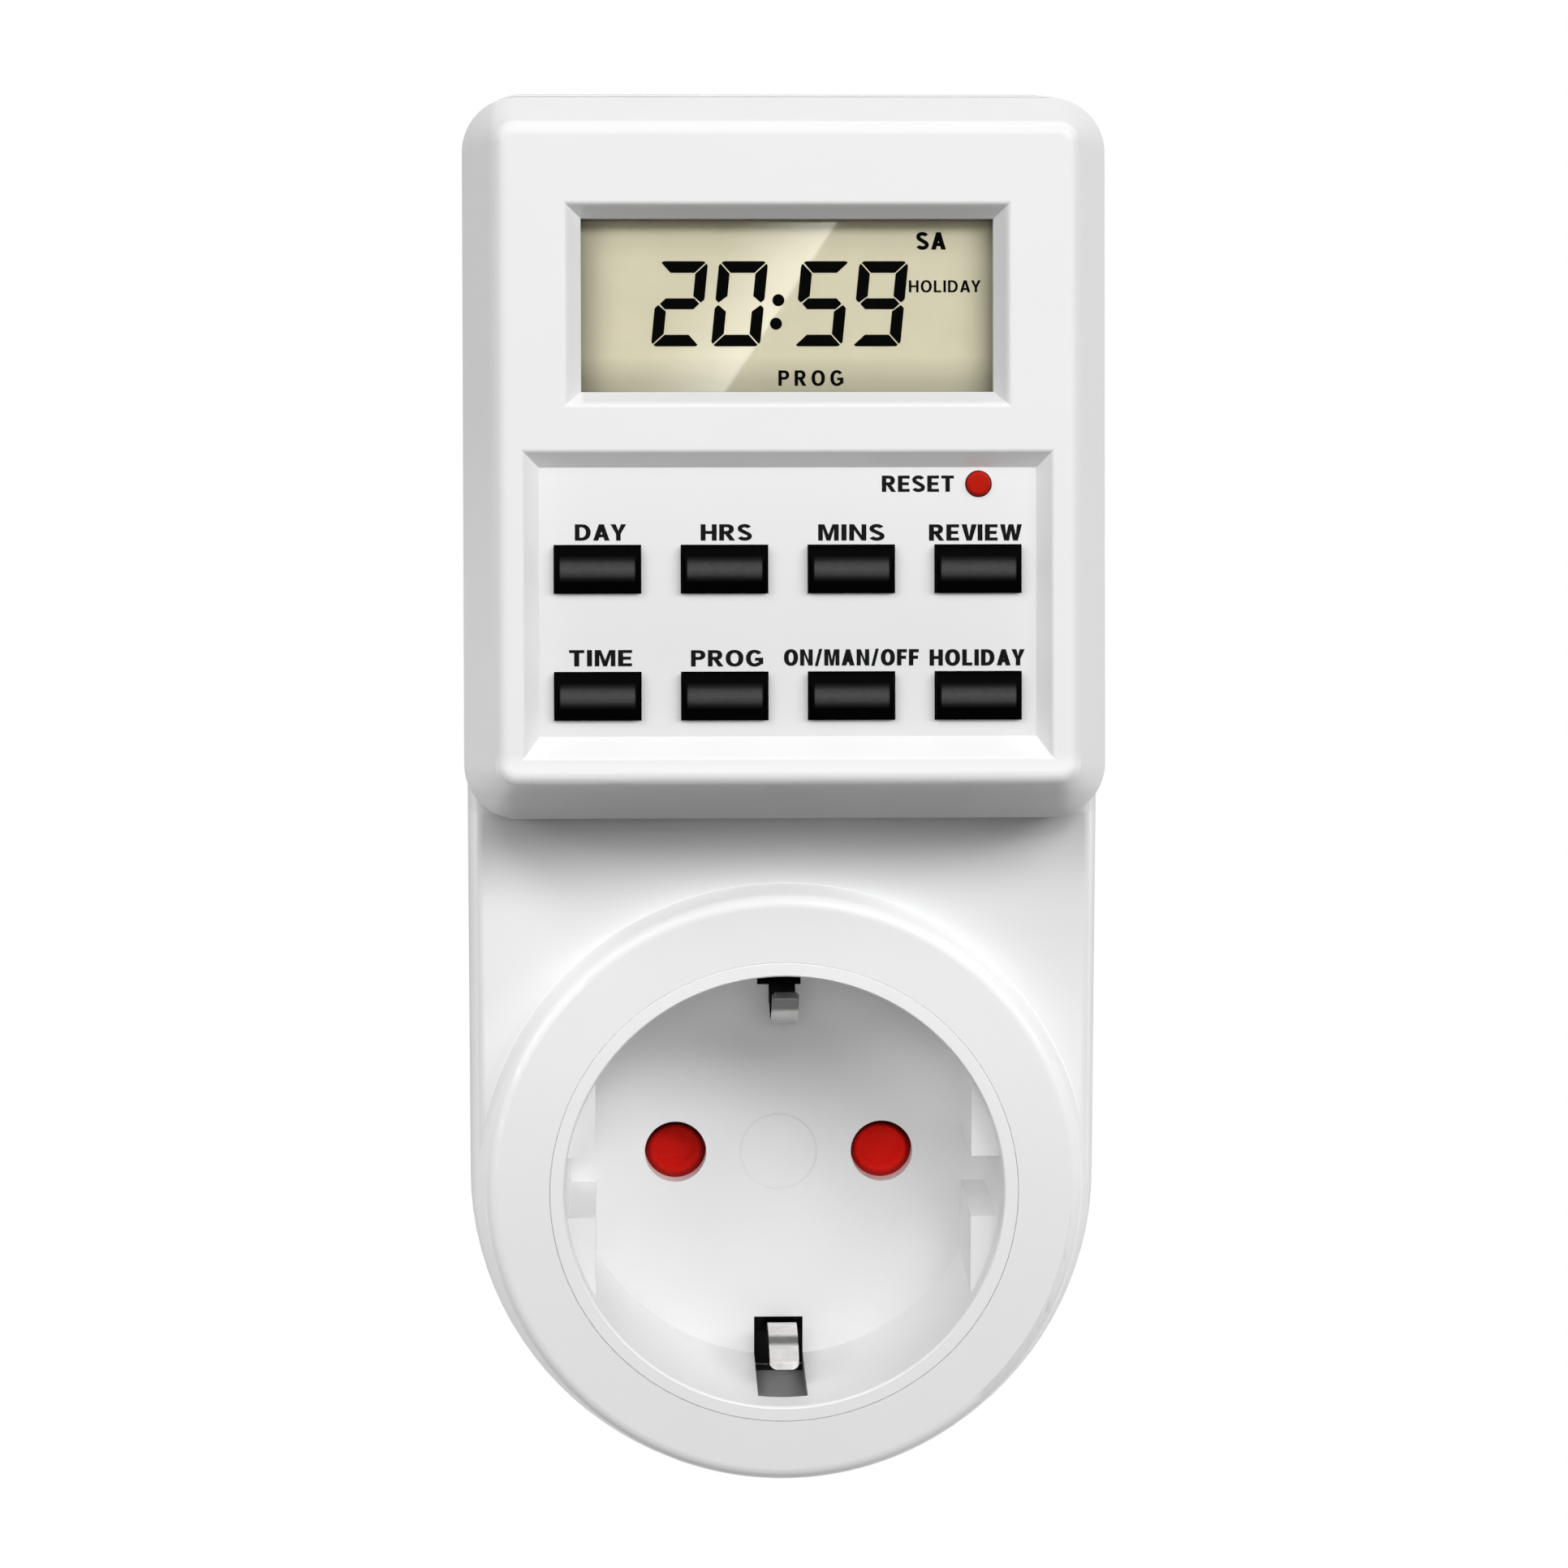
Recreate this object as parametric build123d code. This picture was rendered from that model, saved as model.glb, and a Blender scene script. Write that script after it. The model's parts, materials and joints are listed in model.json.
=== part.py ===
from build123d import *
import math
import os

os.makedirs("parts", exist_ok=True)

# ---------------------------------------------------------------- dimensions
# millimetres, +Z up, front towards -Y, plug pins along +Y.
# origin: plug and socket axis, on the flat rear face of the case.

CASE_DEPTH = 27.0            # socket face to rear face
Y_FACE = -CASE_DEPTH         # socket face plane
Y_PART = -9.0                # parting plane of front and rear shells
HALF_W = 28.1                # half width of the case
WALL = 2.0
BACK_WALL = 2.4
Z_TOP = 96.5                 # top of the case
TOP_CORNER_R = 4.8
SLAB_DEPTH = 3.0             # slab face behind the socket face
CLR = 0.05                   # assembly clearance
LOW_Z0 = 0.3                 # centre of the round lower end, above the socket axis

# timer housing: drafted cap on a plane tilted back at the top
TILT = 7.0
FACE_Y = -37.5               # lower crease of the timer face
FACE_Z = 38.4
FACE_HW = 24.85
FACE_V1 = 56.4
CAP_H = 10.0
CAP_DRAFT = 3.3
CAP_EDGE_R = 1.3
CAP_CEILING = -3.5           # inside of the cap's face

# display recess and window
LCD_OUT = (-19.05, 19.05, 32.33, 49.60)
LCD_IN = (-17.70, 17.70, 33.53, 48.38)
LCD_DEPTH = 1.37
LENS_SEAT = -2.25            # back of the thinned frame round the window
# key panel recess
PAN_OUT = (-22.70, 22.70, 2.10, 28.43)
PAN_IN = (-21.37, 21.37, 4.00, 27.07)
PAN_DEPTH = 1.40
RIM_R = 0.5                  # soft rim of both recesses

KEY_U = (-16.35, -5.45, 5.45, 16.35)
KEY_V = (18.36, 7.47)
KEY_W = 7.32
KEY_H = 4.0
KEY_GAP = 0.10
KEY_CROWN = -0.45            # crown height below the timer face
KEY_STROKE = 0.6
RESET_U, RESET_V, RESET_R = 16.4, 25.65, 1.05

# socket, 16 A two pole with side earth
WELL_DEPTH = 17.5
WELL_R0 = 19.55              # at the mouth
WELL_R1 = 19.2               # at the floor
INSERT_R = 20.83
OPENING_R = 20.86
FLOOR_T = 2.0
HOLE_R = 2.84
PIN_PITCH = 19.0
FLAT_X = 16.8
FLAT_SET = 2.7               # flats start below the face
NOTCH_HW = 2.75

# plug
PLUG_LEN = 17.5
PLUG_R = 18.6
PLUG_FLAT_X = 16.4
PLUG_CAVITY_R = 14.8
PIN_R = 2.4
PIN_LEN = 19.0

PX = PIN_PITCH / 2
Y_FLOOR = Y_FACE + WELL_DEPTH          # -9.5
Y_FLOOR_BACK = Y_FLOOR + FLOOR_T       # -7.5

PARTS = {}


# ------------------------------------------------------------------- helpers
def yd(d):
    """Y of a plane d behind the socket face."""
    return Y_FACE + d


def bx(x0, x1, y0, y1, z0, z1):
    return Pos((x0 + x1) / 2, (y0 + y1) / 2, (z0 + z1) / 2) * Box(x1 - x0, y1 - y0, z1 - z0)


def cy(x, z, r, y0, y1):
    """cylinder along Y"""
    return Pos(x, (y0 + y1) / 2, z) * Rot(90, 0, 0) * Cylinder(r, y1 - y0)


def rev(pts):
    """solid of revolution about Y from (radius, y) points"""
    f = make_face(Polyline(*[(p[0], p[1]) for p in pts], close=True))
    return revolve(f, Axis.Y, 360)


def xz_plane(y):
    return Plane(origin=(0, y, 0), x_dir=(1, 0, 0), z_dir=(0, -1, 0))


def prism_y(sk, y0, y1):
    """extrude an (x, z) sketch from y1 forward to y0"""
    return extrude(xz_plane(y1) * sk, y1 - y0)


T = math.radians(TILT)
N_OUT = Vector(0, -math.cos(T), math.sin(T))
V_UP = Vector(0, math.sin(T), math.cos(T))
F0 = Vector(0, FACE_Y, FACE_Z)


def face_plane(w):
    """plane parallel to the timer face, w outward; local x = u, y = v"""
    o = F0 + N_OUT * w
    return Plane(origin=(o.X, o.Y, o.Z), x_dir=(1, 0, 0), z_dir=(N_OUT.X, N_OUT.Y, N_OUT.Z))


def rect_sk(u0, u1, v0, v1, r=0.0):
    s = Rectangle(u1 - u0, v1 - v0) if r <= 0 else RectangleRounded(u1 - u0, v1 - v0, r)
    return Pos((u0 + u1) / 2, (v0 + v1) / 2) * s


def fbox(u0, u1, v0, v1, w0, w1, r=0.0):
    """box in the timer face's frame between w0 and w1"""
    return extrude(face_plane(w0) * rect_sk(u0, u1, v0, v1, r), w1 - w0)


def fcyl(u, v, r, w0, w1):
    return extrude(face_plane(w0) * (Pos(u, v) * Circle(r)), w1 - w0)


def ftaper(a, wa, b, wb, ra=0.0, rb=0.0):
    """solid between rectangle a at wa and rectangle b at wb"""
    return loft([face_plane(wa) * rect_sk(*a, ra), face_plane(wb) * rect_sk(*b, rb)], ruled=True)


def wpt(u, v, w):
    p = F0 + Vector(u, 0, 0) + V_UP * v + N_OUT * w
    return (p.X, p.Y, p.Z)


def tall_outline(inset=0.0):
    """case outline: half round below, rounded corners above, in (x, z)"""
    h = HALF_W - inset
    zt = Z_TOP - inset
    r = max(TOP_CORNER_R - inset, 0.8)
    w = Polyline((-h, 0.8), (-h, zt - r)) \
        + ThreePointArc((-h, zt - r), (-h + r * (1 - math.sqrt(0.5)), zt - r * (1 - math.sqrt(0.5))), (-h + r, zt)) \
        + Line((-h + r, zt), (h - r, zt)) \
        + ThreePointArc((h - r, zt), (h - r * (1 - math.sqrt(0.5)), zt - r * (1 - math.sqrt(0.5))), (h, zt - r)) \
        + Line((h, zt - r), (h, LOW_Z0)) \
        + ThreePointArc((h, LOW_Z0), (0, LOW_Z0 - h), (-h, LOW_Z0)) \
        + Line((-h, LOW_Z0), (-h, 0.8))
    return make_face(w)


def done(name, shape):
    PARTS[name] = shape


# -------------------------------------------------------------- front shell
# edge profile of the socket disc, shared by the slab's sides: a small round,
# a drafted wall and a long arc that runs out into the straight side
EDGE_FLAT, EDGE_R, EDGE_DRAFT, EDGE_ARC_D = 25.5, 1.15, math.radians(14.5), 4.2


def edge_wire():
    c, q = math.cos(EDGE_DRAFT), math.sin(EDGE_DRAFT)
    p1 = (EDGE_FLAT + EDGE_R * c, EDGE_R * (1 - q))
    m1 = math.pi / 4 - EDGE_DRAFT / 2
    pm = (EDGE_FLAT + EDGE_R * math.sin(m1), EDGE_R * (1 - math.cos(m1)))
    p2 = (p1[0] + (EDGE_ARC_D - p1[1]) * q / c, EDGE_ARC_D)
    big = (HALF_W - p2[0]) / (1 - c)
    h = EDGE_DRAFT / 2
    end_d = p2[1] + big * q
    pn = (HALF_W - big * (1 - math.cos(h)), end_d - big * math.sin(h))
    return Line((20.9, Y_FACE), (EDGE_FLAT, Y_FACE)) \
        + ThreePointArc((EDGE_FLAT, Y_FACE), (pm[0], yd(pm[1])), (p1[0], yd(p1[1]))) \
        + Line((p1[0], yd(p1[1])), (p2[0], yd(p2[1]))) \
        + ThreePointArc((p2[0], yd(p2[1])), (pn[0], yd(pn[1])), (HALF_W, yd(end_d))) \
        + Line((HALF_W, yd(end_d)), (HALF_W, Y_PART)) \
        + Line((HALF_W, Y_PART), (0, Y_PART)) + Line((0, Y_PART), (0, Y_FACE)) + Line((0, Y_FACE), (20.9, Y_FACE))


disc = Pos(0, 0, LOW_Z0) * revolve(make_face(edge_wire()), Axis.Y, 360)

# slab above the disc: the same edge profile, cut back to the slab's face
slab_half = extrude(make_face(edge_wire()), 50.0, dir=(0, 0, 1))
slab_half = slab_half - bx(-1, 40, yd(-2), yd(SLAB_DEPTH), -1, 60)
slab = slab_half + mirror(slab_half, Plane.YZ)
edges = [e for e in slab.edges()
         if abs(e.center().Y - yd(SLAB_DEPTH)) < 0.02 and abs(e.center().X) > 20 and e.length > 49]
slab = Pos(0, 0, LOW_Z0) * fillet(edges, 0.8)

base_pl = face_plane(-CAP_H)
base_rect = (-HALF_W, HALF_W, -CAP_DRAFT, FACE_V1 + CAP_DRAFT)


def housing_prism(inset, w0):
    a = (base_rect[0] + inset, base_rect[1] - inset, base_rect[2] + inset, base_rect[3] - inset)
    sk = face_plane(w0) * rect_sk(*a, TOP_CORNER_R - inset if TOP_CORNER_R - inset > 0.8 else 0.8)
    return extrude(sk, 60, dir=(0, 1, 0))


def behind(y):
    return bx(-60, 60, y, y + 200, -80, 160)


housing = housing_prism(0.0, -CAP_H) - behind(Y_PART)
shell = disc + slab + housing

# hollow
in_disc = Pos(0, 0, LOW_Z0) * rev([(0, yd(2.2)), (23.8, yd(2.2)), (24.5, yd(3.0)), (25.4, yd(6.0)), (26.1, yd(9.0)),
                                   (26.1, Y_PART + 1), (0, Y_PART + 1)])
in_slab = bx(-25.0, 25.0, yd(SLAB_DEPTH + 2.2), Y_PART + 1, 0, 60) + bx(-26.1, 26.1, yd(8.6), Y_PART + 1, 0, 60)
in_house = housing_prism(WALL, -CAP_H + 1) - behind(Y_PART + 1)
shell = shell - in_disc - in_slab - in_house
# opening for the socket insert
shell = shell - cy(0, 0, OPENING_R, yd(-2), yd(3.0))
# lower screw bosses behind the disc, upper ones on ribs to the walls
LOW_SCREW = (20.4, -11.7)
TOP_SCREW = (22.6, 91.0)
SCREWS = [(-TOP_SCREW[0], TOP_SCREW[1]), TOP_SCREW, (-LOW_SCREW[0], LOW_SCREW[1]), LOW_SCREW]
PILOT_R = 1.15
for sx in (-1, 1):
    shell += cy(sx * LOW_SCREW[0], LOW_SCREW[1], 2.45, yd(2.0), Y_PART)
    xb, zb = sx * TOP_SCREW[0], TOP_SCREW[1]
    shell += cy(xb, zb, 2.6, -18.0, Y_PART)
    shell += bx(min(xb, sx * 27), max(xb, sx * 27), -17.5, Y_PART, zb - 0.8, zb + 0.8)
    shell += bx(xb - 0.8, xb + 0.8, -17.5, Y_PART, zb, Z_TOP - 1.0)
    shell -= cy(sx * LOW_SCREW[0], LOW_SCREW[1], PILOT_R, -21.0, Y_PART + 1)
    shell -= cy(xb, zb, PILOT_R, -16.5, Y_PART + 1)
# stiffening rib across the slab, under the timer housing
shell += bx(-25.5, 25.5, yd(4.5), yd(9.0), 30.6, 31.8)
done("front_shell", shell)

# -------------------------------------------------------------- timer cover
face_rect = (-FACE_HW, FACE_HW, 0.0, FACE_V1)
cap_r = TOP_CORNER_R - CAP_DRAFT
cap = ftaper(base_rect, -CAP_H + CLR, face_rect, 0.0, TOP_CORNER_R, cap_r)
top_edges = [e for e in cap.edges() if abs((e.center() - F0).dot(N_OUT)) < 1e-3]
cap = fillet(top_edges, CAP_EDGE_R)
in_base = (base_rect[0] + WALL, base_rect[1] - WALL, base_rect[2] + WALL, base_rect[3] - WALL)
k_in = CAP_DRAFT / CAP_H * (CAP_H + CAP_CEILING)
in_top = (in_base[0] + k_in, in_base[1] - k_in, in_base[2] + k_in, in_base[3] - k_in)
cap = cap - ftaper(in_base, -CAP_H - 0.001, in_top, CAP_CEILING, 2.4, 1.0)


def grow(a, g):
    return (a[0] - g, a[1] + g, a[2] - g, a[3] + g)


def recess(out, inn, depth):
    ratio = 0.5
    up = (out[0] + (out[0] - inn[0]) / depth * ratio, out[1] + (out[1] - inn[1]) / depth * ratio,
          out[2] + (out[2] - inn[2]) / depth * ratio, out[3] + (out[3] - inn[3]) / depth * ratio)
    return ftaper(up, ratio, inn, -depth)


def rim_cuts(out, inn, depth, r=RIM_R, n=4, top=0.3, low=-0.45):
    """flat cuts that turn the recess's sharp rim into a rounded one of radius r"""
    cuts = []
    signs = (-1, 1, -1, 1)
    slopes = [math.atan2(depth, abs(o - i)) for o, i in zip(out, inn)]
    for k in range(1, n + 1):
        hi, lo = [], []
        for o, sgn, th in zip(out, signs, slopes):
            ph = th * k / (n + 1)
            at_face = r * (math.tan(th / 2) - math.tan(ph / 2))
            hi.append(o + sgn * (at_face + top / math.tan(ph)))
            lo.append(o + sgn * (at_face + low / math.tan(ph)))
        cuts.append(ftaper(hi, top, lo, low))
    return cuts


cap = cap - recess(LCD_OUT, LCD_IN, LCD_DEPTH)
cap = cap - fbox(*LCD_IN, -LCD_DEPTH + 0.2, CAP_CEILING - 1)
cap = cap - recess(PAN_OUT, PAN_IN, PAN_DEPTH)
for c in rim_cuts(LCD_OUT, LCD_IN, LCD_DEPTH) + rim_cuts(PAN_OUT, PAN_IN, PAN_DEPTH):
    cap = cap - c
# thinned frame round the window, from behind
cap = cap - fbox(-19.5, 19.5, 32.0, 49.9, CAP_CEILING - 0.5, LENS_SEAT, 0.6)
# key and reset holes
for v in KEY_V:
    for u in KEY_U:
        g = KEY_GAP
        cap = cap - fbox(u - KEY_W / 2 - g, u + KEY_W / 2 + g, v - KEY_H / 2 - g, v + KEY_H / 2 + g,
                         CAP_CEILING - 1, 0.5)
cap = cap - fcyl(RESET_U, RESET_V, RESET_R + 0.1, CAP_CEILING - 1, 0.5)
# posts for the display board
POSTS = [(-22.0, 12.9), (22.0, 12.9), (-22.0, 53.0), (22.0, 53.0)]
for u, v in POSTS:
    cap = cap + fcyl(u, v, 2.0, -8.55, CAP_CEILING + 0.2)
    cap = cap - fcyl(u, v, 0.9, -9.0, CAP_CEILING - 0.6)
# locating lip that enters the front shell
lip_o = grow(in_base, -0.08)
lip_i = grow(in_base, -1.1)
lip = extrude(face_plane(-CAP_H + 0.4) * (rect_sk(*lip_o, 2.7) - rect_sk(*lip_i, 1.8)), 2.4, dir=(0, 1, 0))
cap = cap + lip
done("timer_cover", cap)

# ------------------------------------------------------------------- display
done("lcd_lens", fbox(LCD_IN[0] + 0.1, LCD_IN[1] - 0.1, LCD_IN[2] + 0.1, LCD_IN[3] - 0.1, -LCD_DEPTH - 0.10, -2.6)
     + fbox(-19.3, 19.3, 32.2, 49.7, -3.15, LENS_SEAT - CLR))
done("lcd_glass", fbox(-19.3, 19.3, 32.2, 49.7, -4.2, -3.25) + fbox(-19.6, 19.6, 31.0, 50.5, -5.2, -4.15))
done("lcd_reflector", fbox(-19.2, 19.2, 34.2, 50.2, -5.55, -5.25))
done("zebra_strip", fbox(-17.5, 17.5, 31.2, 33.4, -8.5, -5.25))
done("lcd_frame", fbox(-20.8, 20.8, 29.9, 51.25, -8.55, -3.65) - fbox(-19.75, 19.75, 30.95, 50.65, -9, -3)
     + fbox(-19.8, -17.9, 36.0, 50.7, -8.55, -5.7) + fbox(17.9, 19.8, 36.0, 50.7, -8.55, -5.7))
board = fbox(-24.2, 24.2, 1.2, 55.6, -9.8, -8.6, 1.5)
for u, v in POSTS:
    board = board - fcyl(u, v, 1.0, -10.5, -8)
done("display_board", board)
group = []
for u, v in POSTS:
    group.append(fcyl(u, v, 1.6, -10.9, -9.85) + fcyl(u, v, 0.85, -9.9, -5.2)
                 - fbox(u - 1.2, u + 1.2, v - 0.2, v + 0.2, -11.2, -10.5) - fbox(u - 0.2, u + 0.2, v - 1.2, v + 1.2, -11.2, -10.5))
done("display_screws", Compound(children=group))

# rubber key mat with a dome under each key
mat = fbox(-19.7, 19.7, 3.6, 28.6, -8.55, -8.1, 1.0)
for u in KEY_U:
    for v in KEY_V:
        mat = mat + extrude(face_plane(-8.15) * (Pos(u, v) * Circle(2.4)), 0.6, taper=25)
mat = mat + extrude(face_plane(-8.15) * (Pos(RESET_U, RESET_V) * Circle(1.8)), 0.6, taper=25)
done("key_mat", mat)


def key_cap(u, v):
    """pushbutton with a crown that is rounded across its height"""
    hw, hh = KEY_W / 2, KEY_H / 2
    sag = 0.32
    prof = Polyline((-hh, -3.6), (-hh, KEY_CROWN - sag - 0.12)) \
        + Line((-hh, KEY_CROWN - sag - 0.12), (-hh + 0.22, KEY_CROWN - sag)) \
        + ThreePointArc((-hh + 0.22, KEY_CROWN - sag), (0, KEY_CROWN), (hh - 0.22, KEY_CROWN - sag)) \
        + Line((hh - 0.22, KEY_CROWN - sag), (hh, KEY_CROWN - sag - 0.12)) \
        + Polyline((hh, KEY_CROWN - sag - 0.12), (hh, -3.6), (-hh, -3.6))
    o = F0 + Vector(u - hw, 0, 0) + V_UP * v
    pl = Plane(origin=(o.X, o.Y, o.Z), x_dir=(V_UP.X, V_UP.Y, V_UP.Z), z_dir=(1, 0, 0))
    # local x = v, local y = outward normal
    if pl.y_dir.dot(N_OUT) < 0:
        pl = Plane(origin=(o.X + KEY_W, o.Y, o.Z), x_dir=(V_UP.X, V_UP.Y, V_UP.Z), z_dir=(-1, 0, 0))
    body = extrude(pl * make_face(prof), KEY_W)
    body = body + fbox(u - hw - 0.7, u + hw + 0.7, v - hh - 0.7, v + hh + 0.7, -4.3, CAP_CEILING - CLR)
    body = body + fcyl(u, v, 1.3, -6.9, -4.2)
    # wedge-ended crown at the two short sides
    for s in (-1, 1):
        e = F0 + Vector(u + s * hw, 0, 0) + V_UP * v + N_OUT * KEY_CROWN
        cutter = Pos(e.X, e.Y, e.Z) * Rot(-TILT, 0, 0) * Rot(0, 0, s * 45.0) * Box(0.34, 0.34, KEY_H + 2)
        body = body - cutter
    return body


KEY_NAMES = ["key_day", "key_hour", "key_minute", "key_recall", "key_clock", "key_program", "key_mode", "key_random"]
i = 0
for v in KEY_V:
    for u in KEY_U:
        done(KEY_NAMES[i], key_cap(u, v))
        i += 1
rb = fcyl(RESET_U, RESET_V, RESET_R, -6.9, -1.0)
rb = fillet([e for e in rb.edges() if abs((e.center() - F0).dot(N_OUT) + 1.0) < 1e-3], 0.3)
rb = rb + fcyl(RESET_U, RESET_V, 1.75, -4.3, CAP_CEILING - CLR)
done("reset_button", rb)

# parts on the rear side of the display board
chip = fbox(-5, 5, 15, 25, -11.4, -10.05)
for k in range(8):
    a = -4.2 + k * 1.2
    chip = chip + fbox(a - 0.25, a + 0.25, 13.9, 15.4, -10.5, -9.85) + fbox(a - 0.25, a + 0.25, 24.6, 26.1, -10.5, -9.85)
    chip = chip + fbox(-6.1, -4.6, 20 + a - 0.25, 20 + a + 0.25, -10.5, -9.85) \
        + fbox(4.6, 6.1, 20 + a - 0.25, 20 + a + 0.25, -10.5, -9.85)
done("controller_chip", chip)
crystal = extrude(Plane(origin=wpt(12.0, 17.0, -11.4), x_dir=(1, 0, 0), z_dir=(V_UP.X, V_UP.Y, V_UP.Z)) * Circle(1.5), 8.0)
crystal = crystal + fbox(11.2, 11.6, 13.5, 17.05, -11.6, -11.2) + fbox(12.4, 12.8, 13.5, 17.05, -11.6, -11.2) \
    + fbox(11.2, 11.6, 13.5, 13.9, -11.6, -9.85) + fbox(12.4, 12.8, 13.5, 13.9, -11.6, -9.85)
done("crystal", crystal)
batt = fcyl(-11.8, 41.0, 5.8, -15.2, -10.3)
batt = fillet([e for e in batt.edges() if e.geom_type == GeomType.CIRCLE], 0.5)
done("backup_cell", batt)
done("cell_tabs", fbox(-14.3, -9.3, 39.0, 43.0, -10.25, -9.85) + fbox(-14.0, -10.0, 39.5, 42.5, -15.55, -15.25)
     + fbox(-18.6, -13.95, 39.9, 42.1, -15.55, -15.25) + fbox(-18.6, -18.3, 39.9, 42.1, -15.5, -9.85))

# ------------------------------------------------------------ socket insert
ins = rev([(0, Y_FLOOR), (WELL_R1, Y_FLOOR), (WELL_R0 - 0.01, yd(0.30)), (WELL_R0 + 0.05, yd(0.09)), (WELL_R0 + 0.15, yd(0.0)),
           (INSERT_R - 0.08, yd(0.0)), (INSERT_R, yd(0.08)), (INSERT_R, yd(2.35)), (22.4, yd(2.35)), (22.4, yd(3.5)),
           (20.95, yd(3.6)), (20.85, Y_FLOOR_BACK), (0, Y_FLOOR_BACK)])
flats = cy(0, 0, 20.2, yd(FLAT_SET), Y_FLOOR + 0.1)
flats = flats & (bx(FLAT_X, 22, yd(FLAT_SET), Y_FLOOR + 0.1, -14, 14) + bx(-22, -FLAT_X, yd(FLAT_SET), Y_FLOOR + 0.1, -14, 14))
flats = flats - bx(-23, 23, yd(0), Y_FLOOR, -NOTCH_HW, NOTCH_HW)
ins = ins + flats
# earth slots in floor and wall, the wall recess closed behind
LOW_SLOT_HW, UP_SLOT_HW = 2.25, 2.0
SLOT_Z0, SLOT_Z1 = 15.65, 20.75
SLOT_TOP = 3.3
for s, hw in ((-1, LOW_SLOT_HW), (1, UP_SLOT_HW)):
    za, zb = sorted((s * 19.6, s * 22.0))
    ins = ins + bx(-hw - 1.0, hw + 1.0, yd(2.6), Y_FLOOR_BACK, za, zb)
    za, zb = sorted((s * SLOT_Z0, s * SLOT_Z1))
    ins = ins - bx(-hw, hw, yd(SLOT_TOP), Y_FLOOR_BACK + 1, za, zb)
# narrower end of the upper slot in the floor
ins = ins - bx(-0.95, 1.45, Y_FLOOR - 1, Y_FLOOR_BACK + 1, 13.9, SLOT_Z0 + 0.1)
for s in (-1, 1):
    ins = ins - cy(s * PX, 0, HOLE_R, Y_FLOOR - 1, Y_FLOOR_BACK + 1)
    ins = ins - cy(s * LOW_SCREW[0], LOW_SCREW[1], 2.6, yd(1.0), yd(10.0))
# plain sunk disc in the middle of the floor and the shutter's peg behind it
ins = ins - cy(0, 0, 3.5, Y_FLOOR - 1, Y_FLOOR + 0.15)
PEG_R = 1.5
ins = ins + cy(0, 0, PEG_R, Y_FLOOR_BACK - 0.2, -5.9)
done("socket_insert", ins)

# -------------------------------------------------- safety shutter and spring
SH_Y0, SH_Y1 = -7.35, -6.15
sh = cy(0, 0, 3.4, SH_Y0, SH_Y1)
for s in (-1, 1):
    pad = cy(s * PX, 0, 3.25, SH_Y0, SH_Y1)
    sh = sh + pad + bx(min(0, s * PX), max(0, s * PX), SH_Y0, SH_Y1, -1.6, 1.6)
sh = sh - cy(0, 0, PEG_R + 0.05, SH_Y0 - 1, SH_Y1 + 1)
for s in (-1, 1):
    # round dish that a pin pushes on, a little off the hole's centre
    dish = Pos(s * PX - 0.25, SH_Y0 + 0.10, 0.45) * Rot(90, 0, 0) * Cone(2.0, 2.3, 0.40)
    sh = sh - dish
done("shutter", sh)
# flat spiral return spring round the peg, behind the shutter
sp_pts = []
for k in range(0, 25):
    a = math.radians(90 + k * 30)
    r = 1.95 + 0.05 * k
    sp_pts.append((r * math.cos(a), -5.8, r * math.sin(a)))
sp_pts.append((sp_pts[-1][0] + 1.2, -5.8, sp_pts[-1][2] + 2.2))
sp_path = Spline(*sp_pts)
t0 = sp_path % 0
spring = sweep(Plane(origin=sp_pts[0], z_dir=(t0.X, t0.Y, t0.Z)) * Circle(0.17), path=sp_path)
done("shutter_spring", spring)

# ---------------------------------------------------------- contact carrier
car = bx(-16.0, 16.0, -5.5, -3.9, -6.5, 6.5)
car = fillet(car.edges().filter_by(Axis.Y), 3.0)
for s in (-1, 1):
    car = car - cy(s * PX, 0, 3.45, -6, -3)
car = car - cy(0, 0, 1.2, -6, -3)
done("contact_carrier", car)

# spring contacts: slit tubes with a collar and a solder tail
for s, nm in ((-1, "contact_live"), (1, "contact_neutral")):
    c = cy(s * PX, 0, 3.35, -5.3, 9.5) - cy(s * PX, 0, 2.55, -6, 10)
    c = c - bx(s * PX - 0.35, s * PX + 0.35, -1.5, 10, -4, 4)
    c = c + (cy(s * PX, 0, 4.2, -3.85, -3.15) - cy(s * PX, 0, 2.55, -4, -3))
    xa, xb = sorted((s * (PX + 2.6), s * (PX + 4.4)))
    c = c + bx(s * PX - 1.2, s * PX + 1.2, -3.85, -3.15, 3.4, 8.2)
    done(nm, c)

# ------------------------------------------------------------ earth circuit
def yz_strip(pts_in, sgn, thick, hw):
    """strip bent in the YZ plane: inner line through (depth, z), thickness away from the axis"""
    ins_p = [(yd(d), z) for d, z in pts_in]
    out_p = [(y, z + sgn * thick) for y, z in ins_p]
    w = Spline(*ins_p) + Line(ins_p[-1], out_p[-1]) + Spline(*reversed(out_p)) + Line(out_p[0], ins_p[0])
    pl = Plane(origin=(-hw, 0, 0), x_dir=(0, 1, 0), z_dir=(1, 0, 0))
    return extrude(pl * make_face(w), 2 * hw)


def tip_round(strip, xc, hw, y_tip, r):
    """round the corners of a strip's free end, seen from above"""
    keep = Pos(xc, y_tip + 20.0) * RectangleRounded(2 * hw, 40.0, r)
    return strip & extrude(Plane.XY.offset(-25) * keep, 50)


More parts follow.
